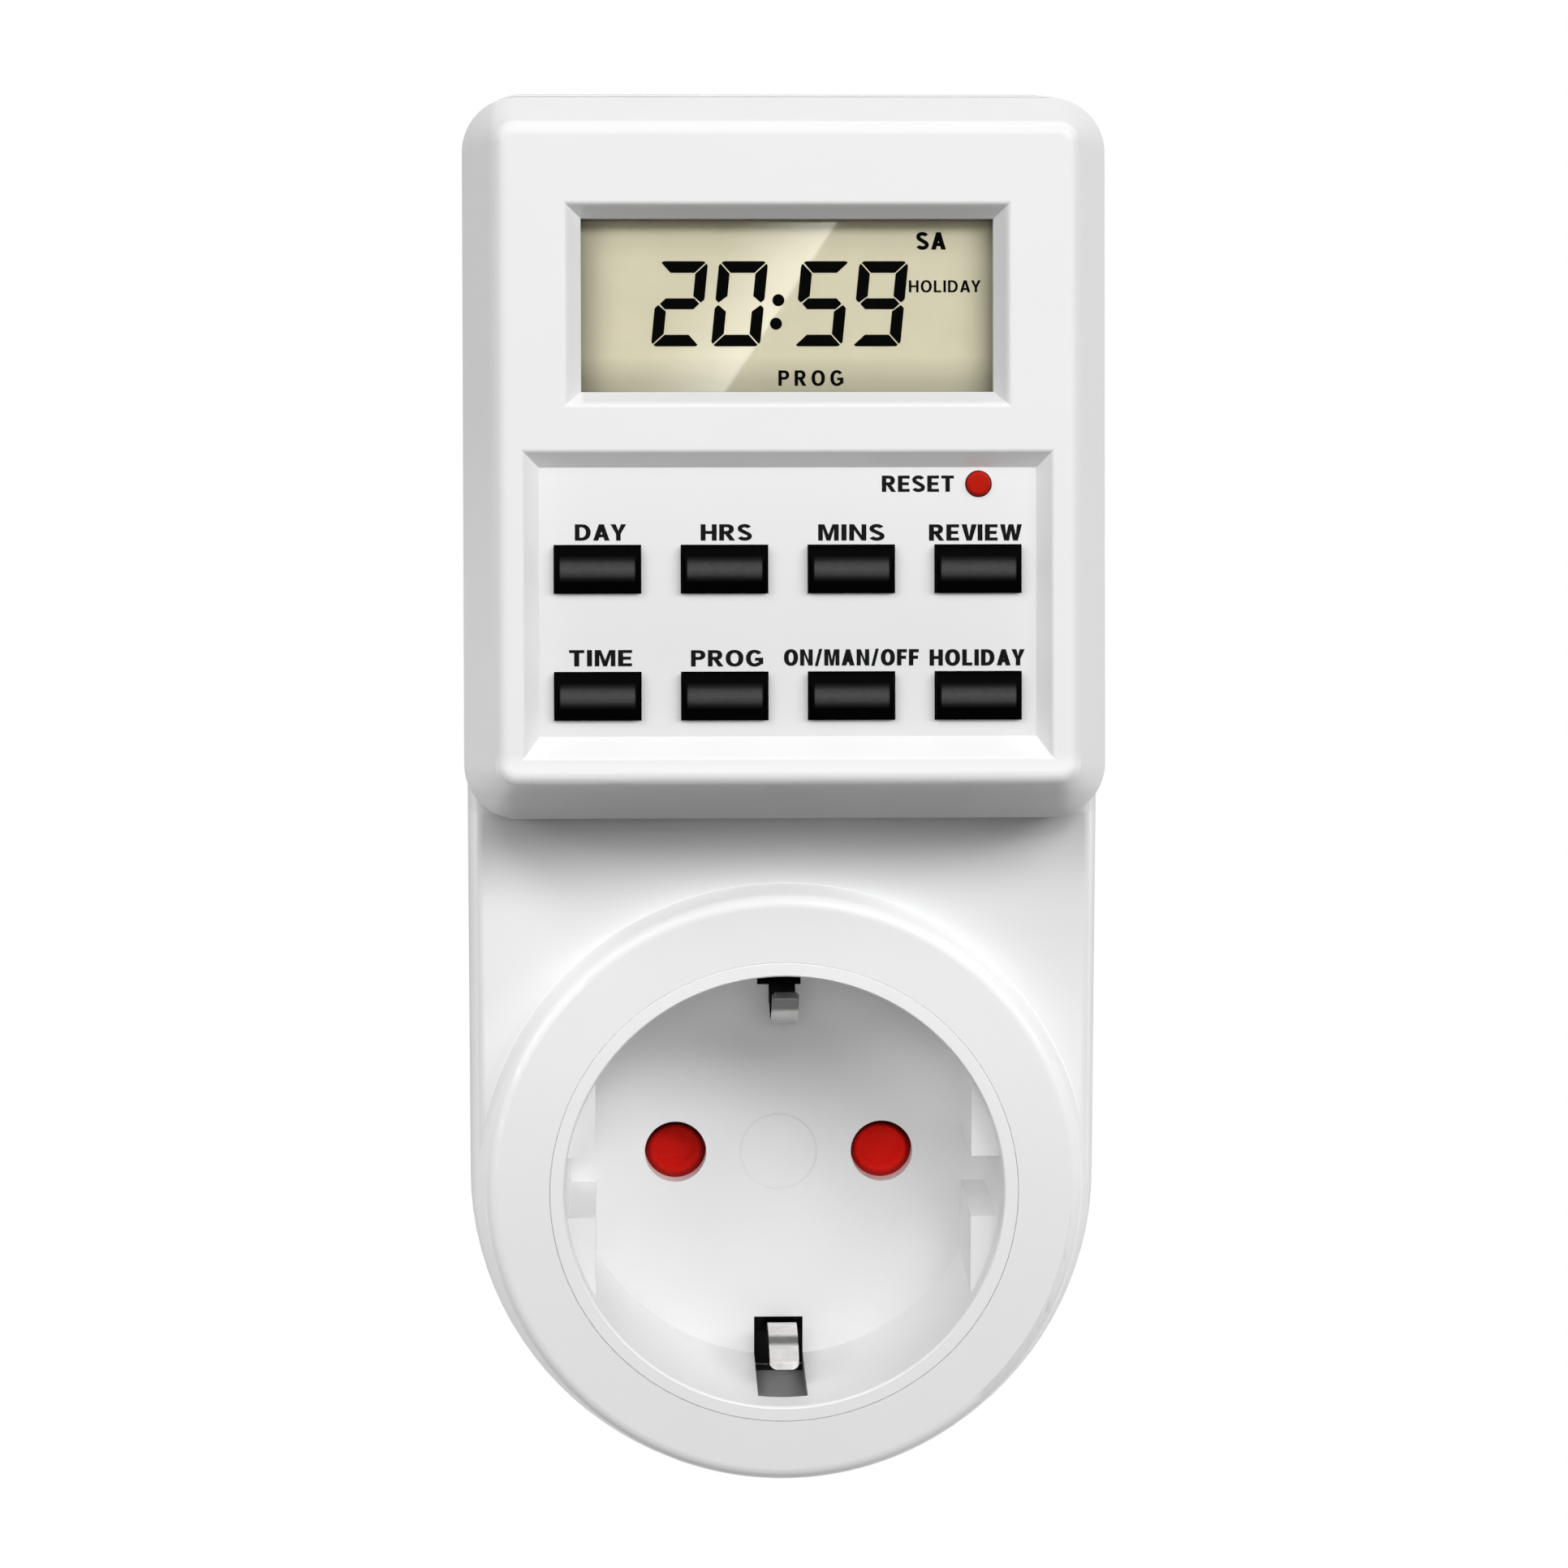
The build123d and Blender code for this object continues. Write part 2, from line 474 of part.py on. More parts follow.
LOW_X, UP_X = 0.2, 0.25
clip_low = yz_strip([(23.0, -16.75), (20.0, -16.75), (17.4, -16.45), (15.0, -15.6), (12.4, -15.05), (9.4, -15.3), (6.8, -16.15), (5.0, -16.85)], -1, 0.55, 1.32)
clip_low = tip_round(Pos(LOW_X, 0, 0) * clip_low, LOW_X, 1.32, yd(4.9), 1.0)
clip_low = clip_low + bx(LOW_X - 1.32, LOW_X + 1.32, yd(22.4), yd(23.0), -18.5, -16.8)
done("earth_clip_lower", clip_low)
clip_up = yz_strip([(23.0, 16.75), (20.0, 16.75), (17.6, 16.05), (15.2, 14.35), (12.4, 13.1), (9.4, 13.7), (6.8, 15.3), (4.8, 16.75)], 1, 0.55, 1.2)
clip_up = tip_round(Pos(UP_X, 0, 0) * clip_up, UP_X, 1.2, yd(4.5), 1.0)
clip_up = clip_up + bx(UP_X - 1.2, UP_X + 1.2, yd(22.4), yd(23.0), 16.8, 18.5)
done("earth_clip_upper", clip_up)
bridge = bx(-2.0, 2.0, -3.8, -3.0, -18.5, 18.5)
bridge = bridge + bx(-4.2, 4.2, -3.8, -3.0, -3.5, 3.5)
done("earth_bridge", bridge)
PE_Z0, PE_Z1 = 16.4, 17.2
for s, nm in ((1, "plug_earth_upper"), (-1, "plug_earth_lower")):
    za, zb = sorted((s * PE_Z0, s * PE_Z1))
    p = bx(-1.9, 1.9, -2.95, 15.0, za, zb)
    p = p + cy(0, s * 16.9, 0.4, -2.95, -2.9)
    # raised contact rib along the strip
    zr = s * (PE_Z1 + 0.0)
    rib = Pos(0, 8.0, zr) * Rot(90, 0, 0) * Cylinder(0.55, 11.0)
    p = p + (rib & bx(-2, 2, 0, 16, min(s * 17.0, s * 18.2), max(s * 17.0, s * 18.2)))
    done(nm, p)

# ---------------------------------------------------------------- rear shell
rear = prism_y(tall_outline(0.0), Y_PART + CLR, 0.0)
rear = fillet([e for e in rear.edges() if abs(e.center().Y) < 1e-3 and all(abs(v.Y) < 1e-3 for v in e.vertices())], 2.0)
rear = rear - prism_y(tall_outline(WALL), Y_PART - 1, -BACK_WALL)
# clamping arcs that hold the insert forward
arc = cy(0, 0, 20.6, Y_FLOOR_BACK + CLR, -BACK_WALL) - cy(0, 0, 18.2, -20, 5)
arc = arc & (bx(10, 22, -20, 0, -7.5, 7.5) + bx(-22, -10, -20, 0, -7.5, 7.5))
rear = rear + arc
# screw columns
for x, z in SCREWS:
    rear = rear + cy(x, z, 2.45, Y_PART + CLR, -BACK_WALL + 0.1)
# board posts
BOARD_POSTS = [(-20.0, 38.5), (20.0, 38.5), (-20.0, 84.5), (20.0, 84.5)]
for x, z in BOARD_POSTS:
    rear = rear + cy(x, z, 2.6, -4.2, -BACK_WALL + 0.1)
# plug body
plug = cy(0, 0, PLUG_R, -0.5, PLUG_LEN)
plug = plug & (bx(-PLUG_FLAT_X, PLUG_FLAT_X, -1, PLUG_LEN + 1, -20, 20) + bx(-18.3, 18.3, -1, PLUG_LEN + 1, -2.6, 2.6))
plug = chamfer([e for e in plug.edges() if abs(e.center().Y - PLUG_LEN) < 1e-3 and all(abs(v.Y - PLUG_LEN) < 1e-3 for v in e.vertices())], 0.8)
rear = rear + plug
rear = rear - cy(0, 0, PLUG_CAVITY_R, -BACK_WALL - 0.1, PLUG_LEN - 2.5)
for s in (-1, 1):
    za, zb = sorted((s * 16.3, s * 20.0))
    rear = rear - bx(-2.3, 2.3, 0.0, 15.5, za, zb)
    za, zb = sorted((s * 16.3, s * 17.35))
    rear = rear - bx(-2.05, 2.05, -BACK_WALL - 0.5, 0.5, za, zb)
    rear = rear - cy(s * PX, 0, 2.25, PLUG_LEN - 4, PLUG_LEN + 1)
for x, z in SCREWS:
    rear = rear - cy(x, z, 1.25, -20, 1)
    rear = rear - cy(x, z, 2.2, -1.6, 1)
for x, z in BOARD_POSTS:
    rear = rear - cy(x, z, 0.95, -5, -1.1)
# ribs inside the floor of the tray
for z in (60.0, 72.0):
    rear = rear + bx(-26.5, -24.6, -7.5, -BACK_WALL + 0.1, z - 0.6, z + 0.6) + bx(24.6, 26.5, -7.5, -BACK_WALL + 0.1, z - 0.6, z + 0.6)
done("rear_shell", rear)

# case screws
group = []
for x, z in SCREWS:
    sc = cy(x, z, 2.1, -1.55, -0.25) + cy(x, z, 1.1, -14.5, -1.5)
    sc = sc - bx(x - 1.4, x + 1.4, -0.95, 0, z - 0.25, z + 0.25) - bx(x - 0.25, x + 0.25, -0.95, 0, z - 1.4, z + 1.4)
    group.append(sc)
done("case_screws", Compound(children=group))

# ---------------------------------------------------------------- plug pins
for s, nm in ((-1, "plug_pin_live"), (1, "plug_pin_neutral")):
    p = cy(s * PX, 0, PIN_R, PLUG_LEN, PLUG_LEN + PIN_LEN)
    p = fillet([e for e in p.edges() if abs(e.center().Y - PLUG_LEN - PIN_LEN) < 1e-3], 1.7)
    p = p + cy(s * PX, 0, 2.2, 13.6, PLUG_LEN + 0.1) + cy(s * PX, 0, 3.5, 13.4, 14.95)
    p = p + cy(s * PX, 0, 1.3, 11.6, 13.5)
    done(nm, p)
# flat link from the neutral pin to the neutral contact
link = bx(8.2, 13.9, 12.2, 13.0, -1.6, 1.6) - cy(PX, 0, 1.35, 11, 14)
link = link + bx(13.1, 13.9, -2.2, 13.0, -1.6, 1.6)
link = link + bx(11.0, 13.9, -3.1, -2.3, -1.6, 1.6) + bx(13.1, 13.9, -3.1, -2.1, -1.6, 1.6)
link = link - cy(PX, 0, 3.4, -3.2, 12)
done("neutral_link", link)

# ---------------------------------------------------------------- power board
PB_Y0, PB_Y1 = -5.85, -4.25
pb = bx(-23.4, 23.4, PB_Y0, PB_Y1, 35.6, 87.4)
for x, z in BOARD_POSTS:
    pb = pb - cy(x, z, 1.1, -8, -3)
done("power_board", pb)
group = []
for x, z in BOARD_POSTS:
    sc = cy(x, z, 1.8, PB_Y0 - 1.15, PB_Y0 - CLR) + cy(x, z, 0.9, PB_Y0 - 0.2, -1.4)
    sc = sc - bx(x - 1.2, x + 1.2, PB_Y0 - 1.3, PB_Y0 - 0.75, z - 0.2, z + 0.2)
    group.append(sc)
done("board_screws", Compound(children=group))
YB = PB_Y0 - CLR            # seat of the parts on the board's front
relay = bx(-17.0, 2.0, YB - 15.0, YB, 42.6, 58.0)
relay = fillet([e for e in relay.edges() if e.center().Y < YB - 0.5], 0.5)
done("relay", relay)
cx = bx(5.6, 23.0, YB - 12.5, YB, 42.6, 51.0)
cx = fillet([e for e in cx.edges() if e.center().Y < YB - 0.5], 0.6)
done("x2_capacitor", cx)
el = cy(9.5, 58.5, 4.0, YB - 11.5, YB)
el = fillet([e for e in el.edges() if e.geom_type == GeomType.CIRCLE and e.center().Y < YB - 5], 0.6)
el = el - bx(5, 14, YB - 12, YB - 11.3, 58.35, 58.65) - bx(9.35, 9.65, YB - 12, YB - 11.3, 54, 63)
done("smoothing_capacitor", el)
rect = bx(5.2, 11.6, YB - 4.2, YB - 0.9, 67.2, 73.6)
for xx in (5.9, 10.3):
    for zz in (66.4, 73.8):
        rect = rect + bx(xx, xx + 0.6, YB - 2.6, YB, zz, zz + 0.6) + bx(xx, xx + 0.6, YB - 2.6, YB - 2.2, min(zz, 67.3 if zz < 70 else 73.5), max(zz + 0.6, 67.3 if zz < 70 else 73.5))
done("bridge_rectifier", rect)
res = Pos(-10.5, YB - 2.6, 64.5) * Rot(0, 90, 0) * Cylinder(1.9, 10.0)
res = fillet([e for e in res.edges() if e.geom_type == GeomType.CIRCLE], 0.7)
for xx, x1 in ((-17.6, -15.4), (-5.6, -3.4)):
    res = res + (Pos((xx + x1) / 2, YB - 2.6, 64.5) * Rot(0, 90, 0) * Cylinder(0.35, x1 - xx))
res = res + cy(-17.6, 64.5, 0.35, YB - 2.6, YB) + cy(-3.4, 64.5, 0.35, YB - 2.6, YB)
done("dropper_resistor", res)
var = Pos(18.2, YB - 6.2, 60.0) * Cylinder(4.3, 3.4)
var = fillet([e for e in var.edges() if e.geom_type == GeomType.CIRCLE], 1.0)
var = var + cy(16.4, 60.0, 0.35, YB - 3.0, YB) + cy(20.0, 60.0, 0.35, YB - 3.0, YB)
done("varistor", var)
fuse = Pos(-10.5, YB - 3.0, 72.0) * Rot(0, 90, 0) * Cylinder(2.4, 9.0)
fuse = fuse + (Pos(-10.5, YB - 3.0, 72.0) * Rot(0, 90, 0) * Cylinder(2.55, 5.0))
fuse = fuse + bx(-15.2, -14.6, YB - 4.5, YB, 71.2, 72.8) + bx(-6.4, -5.8, YB - 4.5, YB, 71.2, 72.8)
done("fuse", fuse)
# flat ribbon between the two boards
rp = [(YB - 0.05, 80.0), (-9.5, 79.6), (-14.5, 77.0), (-18.5, 76.4), (-22.6, 78.0)]
ro = [(y, z + 0.7) for y, z in rp]
rib_w = Spline(*rp) + Line(rp[-1], ro[-1]) + Spline(*reversed(ro)) + Line(ro[0], rp[0])
ribbon = extrude(Plane(origin=(-5.5, 0, 0), x_dir=(0, 1, 0), z_dir=(1, 0, 0)) * make_face(rib_w), 11.0)
done("ribbon_cable", ribbon)

# -------------------------------------------------------------------- wires
WR = 0.95


def wire(pts, r):
    """insulated lead: straight runs joined by tangent arcs as large as the runs allow"""
    radii = []
    for a, b, c in zip(pts, pts[1:], pts[2:]):
        v1 = Vector(*b) - Vector(*a)
        v2 = Vector(*c) - Vector(*b)
        turn = math.radians(v1.get_angle(v2))
        radii.append(0.45 * min(v1.length, v2.length) / math.tan(turn / 2))
    path = FilletPolyline(*pts, radius=radii)
    t = path % 0
    return sweep(Plane(origin=pts[0], z_dir=(t.X, t.Y, t.Z)) * Circle(r), path=path)


# live pin to the board, board to the live contact, neutral contact to the board
done("wire_live_in", wire([(-9.5, 10.55, 0.3), (-9.1, 10.45, 4.9), (-7.0, 8.2, 9.3), (-6.2, 3.4, 10.0), (-6.0, -1.6, 10.4),
                           (-6.1, -4.75, 14.2), (-6.0, -5.0, 21.5), (-6.3, -5.6, 29.0), (-6.5, -8.3, 33.6),
                           (-6.8, -9.1, 37.8), (-6.9, -7.1, 40.6)], WR))
done("wire_live_out", wire([(-9.5, -3.55, 8.35), (-9.7, -3.7, 11.2), (-11.0, -4.6, 16.0), (-12.4, -5.0, 23.0), (-12.6, -5.7, 29.4),
                            (-12.8, -8.4, 33.8), (-13.0, -9.1, 37.8), (-13.1, -7.1, 40.6)], WR))
done("wire_neutral", wire([(9.5, -3.55, 8.35), (9.4, -3.7, 11.2), (8.8, -4.6, 16.0), (8.2, -5.0, 23.0), (8.3, -5.7, 29.4),
                           (8.6, -8.4, 33.8), (8.8, -9.1, 37.8), (8.9, -7.1, 40.6)], WR))

# -------------------------------------------------------------------- export
for name in sorted(PARTS):
    export_step(PARTS[name], "parts/" + name + ".step")
print(len(PARTS), "nodes written")
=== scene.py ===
import json
import math

import bpy
import bmesh
from mathutils import Matrix, Vector


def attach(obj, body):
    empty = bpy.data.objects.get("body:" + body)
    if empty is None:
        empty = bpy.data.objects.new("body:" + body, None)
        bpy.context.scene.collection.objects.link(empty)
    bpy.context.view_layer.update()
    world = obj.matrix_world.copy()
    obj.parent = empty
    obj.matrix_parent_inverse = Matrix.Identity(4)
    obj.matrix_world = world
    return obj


MM = 0.001
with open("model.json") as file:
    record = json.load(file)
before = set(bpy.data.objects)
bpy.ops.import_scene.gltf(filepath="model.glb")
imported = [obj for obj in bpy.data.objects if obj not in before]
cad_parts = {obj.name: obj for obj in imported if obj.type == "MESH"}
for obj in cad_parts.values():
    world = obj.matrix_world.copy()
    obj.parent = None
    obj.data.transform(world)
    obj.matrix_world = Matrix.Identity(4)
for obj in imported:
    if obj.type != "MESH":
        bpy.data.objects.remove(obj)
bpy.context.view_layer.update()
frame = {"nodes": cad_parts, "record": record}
NODES = frame["nodes"]
scene = bpy.context.scene
scene.view_settings.view_transform = "Standard"
scene.view_settings.look = "None"
scene.view_settings.exposure = 0.0
scene.view_settings.gamma = 1.0

# ------------------------------------------------------------------ timer face frame
TILT = math.radians(7.0)
N_OUT = Vector((0, -math.cos(TILT), math.sin(TILT)))
V_UP = Vector((0, math.sin(TILT), math.cos(TILT)))
F0 = Vector((0, -37.5, 38.4))


def fp(u, v, w):
    """point on the timer face's frame, in metres"""
    return (F0 + Vector((u, 0, 0)) + V_UP * v + N_OUT * w) * MM


FACE = Matrix((
    (MM, 0, 0, F0.x * MM),
    (0, V_UP.y * MM, N_OUT.y * MM, F0.y * MM),
    (0, V_UP.z * MM, N_OUT.z * MM, F0.z * MM),
    (0, 0, 0, 1)))


# ------------------------------------------------------------------ node helpers
def new_mat(name):
    m = bpy.data.materials.new(name)
    m.use_nodes = True
    nt = m.node_tree
    for n in list(nt.nodes):
        nt.nodes.remove(n)
    out = nt.nodes.new("ShaderNodeOutputMaterial")
    bsdf = nt.nodes.new("ShaderNodeBsdfPrincipled")
    nt.links.new(bsdf.outputs[0], out.inputs[0])
    return m, nt, bsdf


def coords_mm(nt, stretch=(1, 1, 1)):
    """object coordinates in millimetres"""
    tc = nt.nodes.new("ShaderNodeTexCoord")
    mp = nt.nodes.new("ShaderNodeMapping")
    mp.inputs["Scale"].default_value = tuple(1000.0 * s for s in stretch)
    nt.links.new(tc.outputs["Object"], mp.inputs["Vector"])
    return mp.outputs["Vector"]


def noise(nt, vec, scale, detail=2.0, rough=0.5, distort=0.0):
    n = nt.nodes.new("ShaderNodeTexNoise")
    n.inputs["Scale"].default_value = scale
    n.inputs["Detail"].default_value = detail
    n.inputs["Roughness"].default_value = rough
    n.inputs["Distortion"].default_value = distort
    nt.links.new(vec, n.inputs["Vector"])
    return n.outputs["Fac"]


def ramp(nt, fac, stops):
    r = nt.nodes.new("ShaderNodeValToRGB")
    els = r.color_ramp.elements
    while len(els) < len(stops):
        els.new(0.5)
    for e, (p, c) in zip(els, stops):
        e.position = p
        e.color = (*c, 1.0) if len(c) == 3 else c
    nt.links.new(fac, r.inputs["Fac"])
    return r.outputs["Color"]


def remap(nt, fac, a, b, lo=0.0, hi=1.0):
    m = nt.nodes.new("ShaderNodeMapRange")
    m.inputs["From Min"].default_value = lo
    m.inputs["From Max"].default_value = hi
    m.inputs["To Min"].default_value = a
    m.inputs["To Max"].default_value = b
    nt.links.new(fac, m.inputs["Value"])
    return m.outputs["Result"]


def bump(nt, bsdf, height, strength, dist):
    b = nt.nodes.new("ShaderNodeBump")
    b.inputs["Strength"].default_value = strength
    b.inputs["Distance"].default_value = dist
    nt.links.new(height, b.inputs["Height"])
    nt.links.new(b.outputs["Normal"], bsdf.inputs["Normal"])


def scale_rgb(c, k):
    return tuple(min(1.0, x * k) for x in c)


def moulded(name, colour, rough=(0.34, 0.42), grain=1.0, vary=0.015, coat=0.0, ior=1.5, spec=0.5):
    """injection-moulded plastic: faint flow marks, a fine eroded texture and uneven gloss"""
    m, nt, b = new_mat(name)
    v = coords_mm(nt)
    flow = noise(nt, v, 0.09, 3.0, 0.55, 0.4)
    fine = noise(nt, v, 7.0, 3.0, 0.6)
    mixn = nt.nodes.new("ShaderNodeMath")
    mixn.operation = "MULTIPLY_ADD"
    mixn.inputs[1].default_value = 0.35
    nt.links.new(fine, mixn.inputs[0])
    half = nt.nodes.new("ShaderNodeMath")
    half.operation = "MULTIPLY"
    half.inputs[1].default_value = 0.65
    nt.links.new(flow, half.inputs[0])
    nt.links.new(half.outputs[0], mixn.inputs[2])
    col = ramp(nt, mixn.outputs[0], [(0.30, scale_rgb(colour, 1.0 - vary)), (0.70, scale_rgb(colour, 1.0 + vary))])
    nt.links.new(col, b.inputs["Base Color"])
    nt.links.new(remap(nt, noise(nt, v, 0.35, 2.0), rough[0], rough[1], 0.3, 0.7), b.inputs["Roughness"])
    bump(nt, b, noise(nt, v, 9.0, 2.0, 0.6), 0.05 * grain, 0.00002)
    b.inputs["IOR"].default_value = ior
    b.inputs["Specular IOR Level"].default_value = spec
    b.inputs["Coat Weight"].default_value = coat
    return m


def metal(name, colour, rough=(0.12, 0.24), axis=None, vary=0.05, grain=0.06):
    """plated or bare metal with drawing lines along one axis and small tarnish clouds"""
    m, nt, b = new_mat(name)
    st = [1.0, 1.0, 1.0]
    if axis is not None:
        st = [1.0 if i != axis else 0.06 for i in range(3)]
    v = coords_mm(nt, tuple(st))
    lines = noise(nt, v, 9.0, 4.0, 0.65)
    cloud = noise(nt, coords_mm(nt), 0.6, 3.0, 0.6, 0.6)
    col = ramp(nt, cloud, [(0.3, scale_rgb(colour, 1.0 - 2 * vary)), (0.7, scale_rgb(colour, 1.0 + vary))])
    nt.links.new(col, b.inputs["Base Color"])
    b.inputs["Metallic"].default_value = 1.0
    nt.links.new(remap(nt, lines, rough[0], rough[1], 0.3, 0.7), b.inputs["Roughness"])
    bump(nt, b, lines, grain, 0.00002)
    return m


def printed_board(name, colour):
    """solder mask with copper tracks showing through as a lighter net"""
    m, nt, b = new_mat(name)
    v = coords_mm(nt)
    br = nt.nodes.new("ShaderNodeTexBrick")
    br.inputs["Scale"].default_value = 0.35
    br.inputs["Mortar Size"].default_value = 0.03
    br.inputs["Color1"].default_value = (*scale_rgb(colour, 0.85), 1)
    br.inputs["Color2"].default_value = (*colour, 1)
    br.inputs["Mortar"].default_value = (*scale_rgb(colour, 1.7), 1)
    nt.links.new(v, br.inputs["Vector"])
    nt.links.new(br.outputs["Color"], b.inputs["Base Color"])
    nt.links.new(remap(nt, noise(nt, v, 1.5, 3.0), 0.28, 0.42), b.inputs["Roughness"])
    bump(nt, b, noise(nt, v, 5.0, 2.0), 0.15, 0.00002)
    return m


def rubbery(name, colour):
    m, nt, b = new_mat(name)
    v = coords_mm(nt)
    nt.links.new(ramp(nt, noise(nt, v, 2.0, 4.0, 0.6), [(0.3, scale_rgb(colour, 0.93)), (0.7, scale_rgb(colour, 1.05))]),
                 b.inputs["Base Color"])
    nt.links.new(remap(nt, noise(nt, v, 6.0, 3.0), 0.6, 0.75), b.inputs["Roughness"])
    bump(nt, b, noise(nt, v, 12.0, 2.0), 0.2, 0.00002)
    return m


def math_node(nt, op, a, b=None, clamp=False):
    n = nt.nodes.new("ShaderNodeMath")
    n.operation = op
    n.use_clamp = clamp
    for i, x in enumerate((a, b)):
        if x is None:
            continue
        if isinstance(x, (int, float)):
            n.inputs[i].default_value = x
        else:
            nt.links.new(x, n.inputs[i])
    return n.outputs[0]


def step_above(nt, x, edge):
    """1 where x is over the edge, else 0"""
    return math_node(nt, "GREATER_THAN", x, edge)


def between(nt, x, lo, hi):
    return math_node(nt, "MULTIPLY", math_node(nt, "GREATER_THAN", x, lo), math_node(nt, "LESS_THAN", x, hi))


def product(nt, *xs):
    out = xs[0]
    for x in xs[1:]:
        out = math_node(nt, "MULTIPLY", out, x)
    return out


def split_xyz(nt, v):
    sep = nt.nodes.new("ShaderNodeSeparateXYZ")
    nt.links.new(v, sep.inputs[0])
    return sep.outputs[0], sep.outputs[1], sep.outputs[2]


def tint(nt, b, factor):
    """multiply the shader's base colour by a factor"""
    src = b.inputs["Base Color"].links[0].from_socket
    mul = nt.nodes.new("ShaderNodeVectorMath")
    mul.operation = "SCALE"
    nt.links.new(src, mul.inputs[0])
    nt.links.new(factor, mul.inputs["Scale"])
    nt.links.new(mul.outputs[0], b.inputs["Base Color"])


def less(nt, mask, amount):
    """1 outside the mask, 1 - amount inside"""
    return math_node(nt, "SUBTRACT", 1.0, math_node(nt, "MULTIPLY", mask, amount))


def track(nt, x, stops):
    """piecewise straight curve through (position, value) stops"""
    lo, hi = stops[0][0], stops[-1][0]
    fac = math_node(nt, "MULTIPLY", math_node(nt, "SUBTRACT", x, lo), 1.0 / (hi - lo))
    return ramp(nt, fac, [((a - lo) / (hi - lo), (k / 2.0, k / 2.0, k / 2.0)) for a, k in stops])


def doubled(nt, x):
    return math_node(nt, "MULTIPLY", x, 2.0)


def mix_value(nt, mask, a, b):  # a and b may be plain numbers
    """a where the mask is 0, b where it is 1"""
    keep = math_node(nt, "SUBTRACT", 1.0, mask)
    return math_node(nt, "ADD", math_node(nt, "MULTIPLY", keep, a), math_node(nt, "MULTIPLY", mask, b))


def face_uvw(nt):
    """coordinates of the timer face's frame, in millimetres"""
    v = coords_mm(nt)
    out = []
    for axis, origin in ((V_UP, F0.dot(V_UP)), (N_OUT, F0.dot(N_OUT))):
        dot = nt.nodes.new("ShaderNodeVectorMath")
        dot.operation = "DOT_PRODUCT"
        nt.links.new(v, dot.inputs[0])
        dot.inputs[1].default_value = tuple(axis)
        out.append(math_node(nt, "SUBTRACT", dot.outputs["Value"], origin))
    return split_xyz(nt, v)[0], out[0], out[1]


def principled(m):
    return [n for n in m.node_tree.nodes if n.bl_idname == "ShaderNodeBsdfPrincipled"][0]


def clear(name):
    """thin coated acrylic window: lets light straight through, and mirrors only at a glancing angle"""
    m, nt, b = new_mat(name)
    v = coords_mm(nt)
    b.inputs["Base Color"].default_value = (1, 1, 1, 1)
    b.inputs["Metallic"].default_value = 1.0
    nt.links.new(remap(nt, noise(nt, v, 3.0, 3.0), 0.02, 0.035), b.inputs["Roughness"])
    tr = nt.nodes.new("ShaderNodeBsdfTransparent")
    nt.links.new(ramp(nt, noise(nt, v, 0.4, 2.0), [(0.3, (0.975, 0.98, 0.965)), (0.7, (0.99, 0.99, 0.98))]), tr.inputs["Color"])
    fr = nt.nodes.new("ShaderNodeFresnel")
    fr.inputs["IOR"].default_value = 1.49
    geo = nt.nodes.new("ShaderNodeNewGeometry")
    front = math_node(nt, "SUBTRACT", 1.0, geo.outputs["Backfacing"])
    over = math_node(nt, "MULTIPLY", math_node(nt, "SUBTRACT", fr.outputs[0], 0.040), 0.9, clamp=True)
    fac = math_node(nt, "MULTIPLY", over, front)
    mx = nt.nodes.new("ShaderNodeMixShader")
    nt.links.new(fac, mx.inputs[0])
    nt.links.new(tr.outputs[0], mx.inputs[1])
    nt.links.new(b.outputs[0], mx.inputs[2])
    out = [n for n in nt.nodes if n.bl_idname == "ShaderNodeOutputMaterial"][0]
    nt.links.new(mx.outputs[0], out.inputs[0])
    return m


KEY_ROWS = (18.36, 7.47)
KEY_COLS = (-16.35, -5.45, 5.45, 16.35)


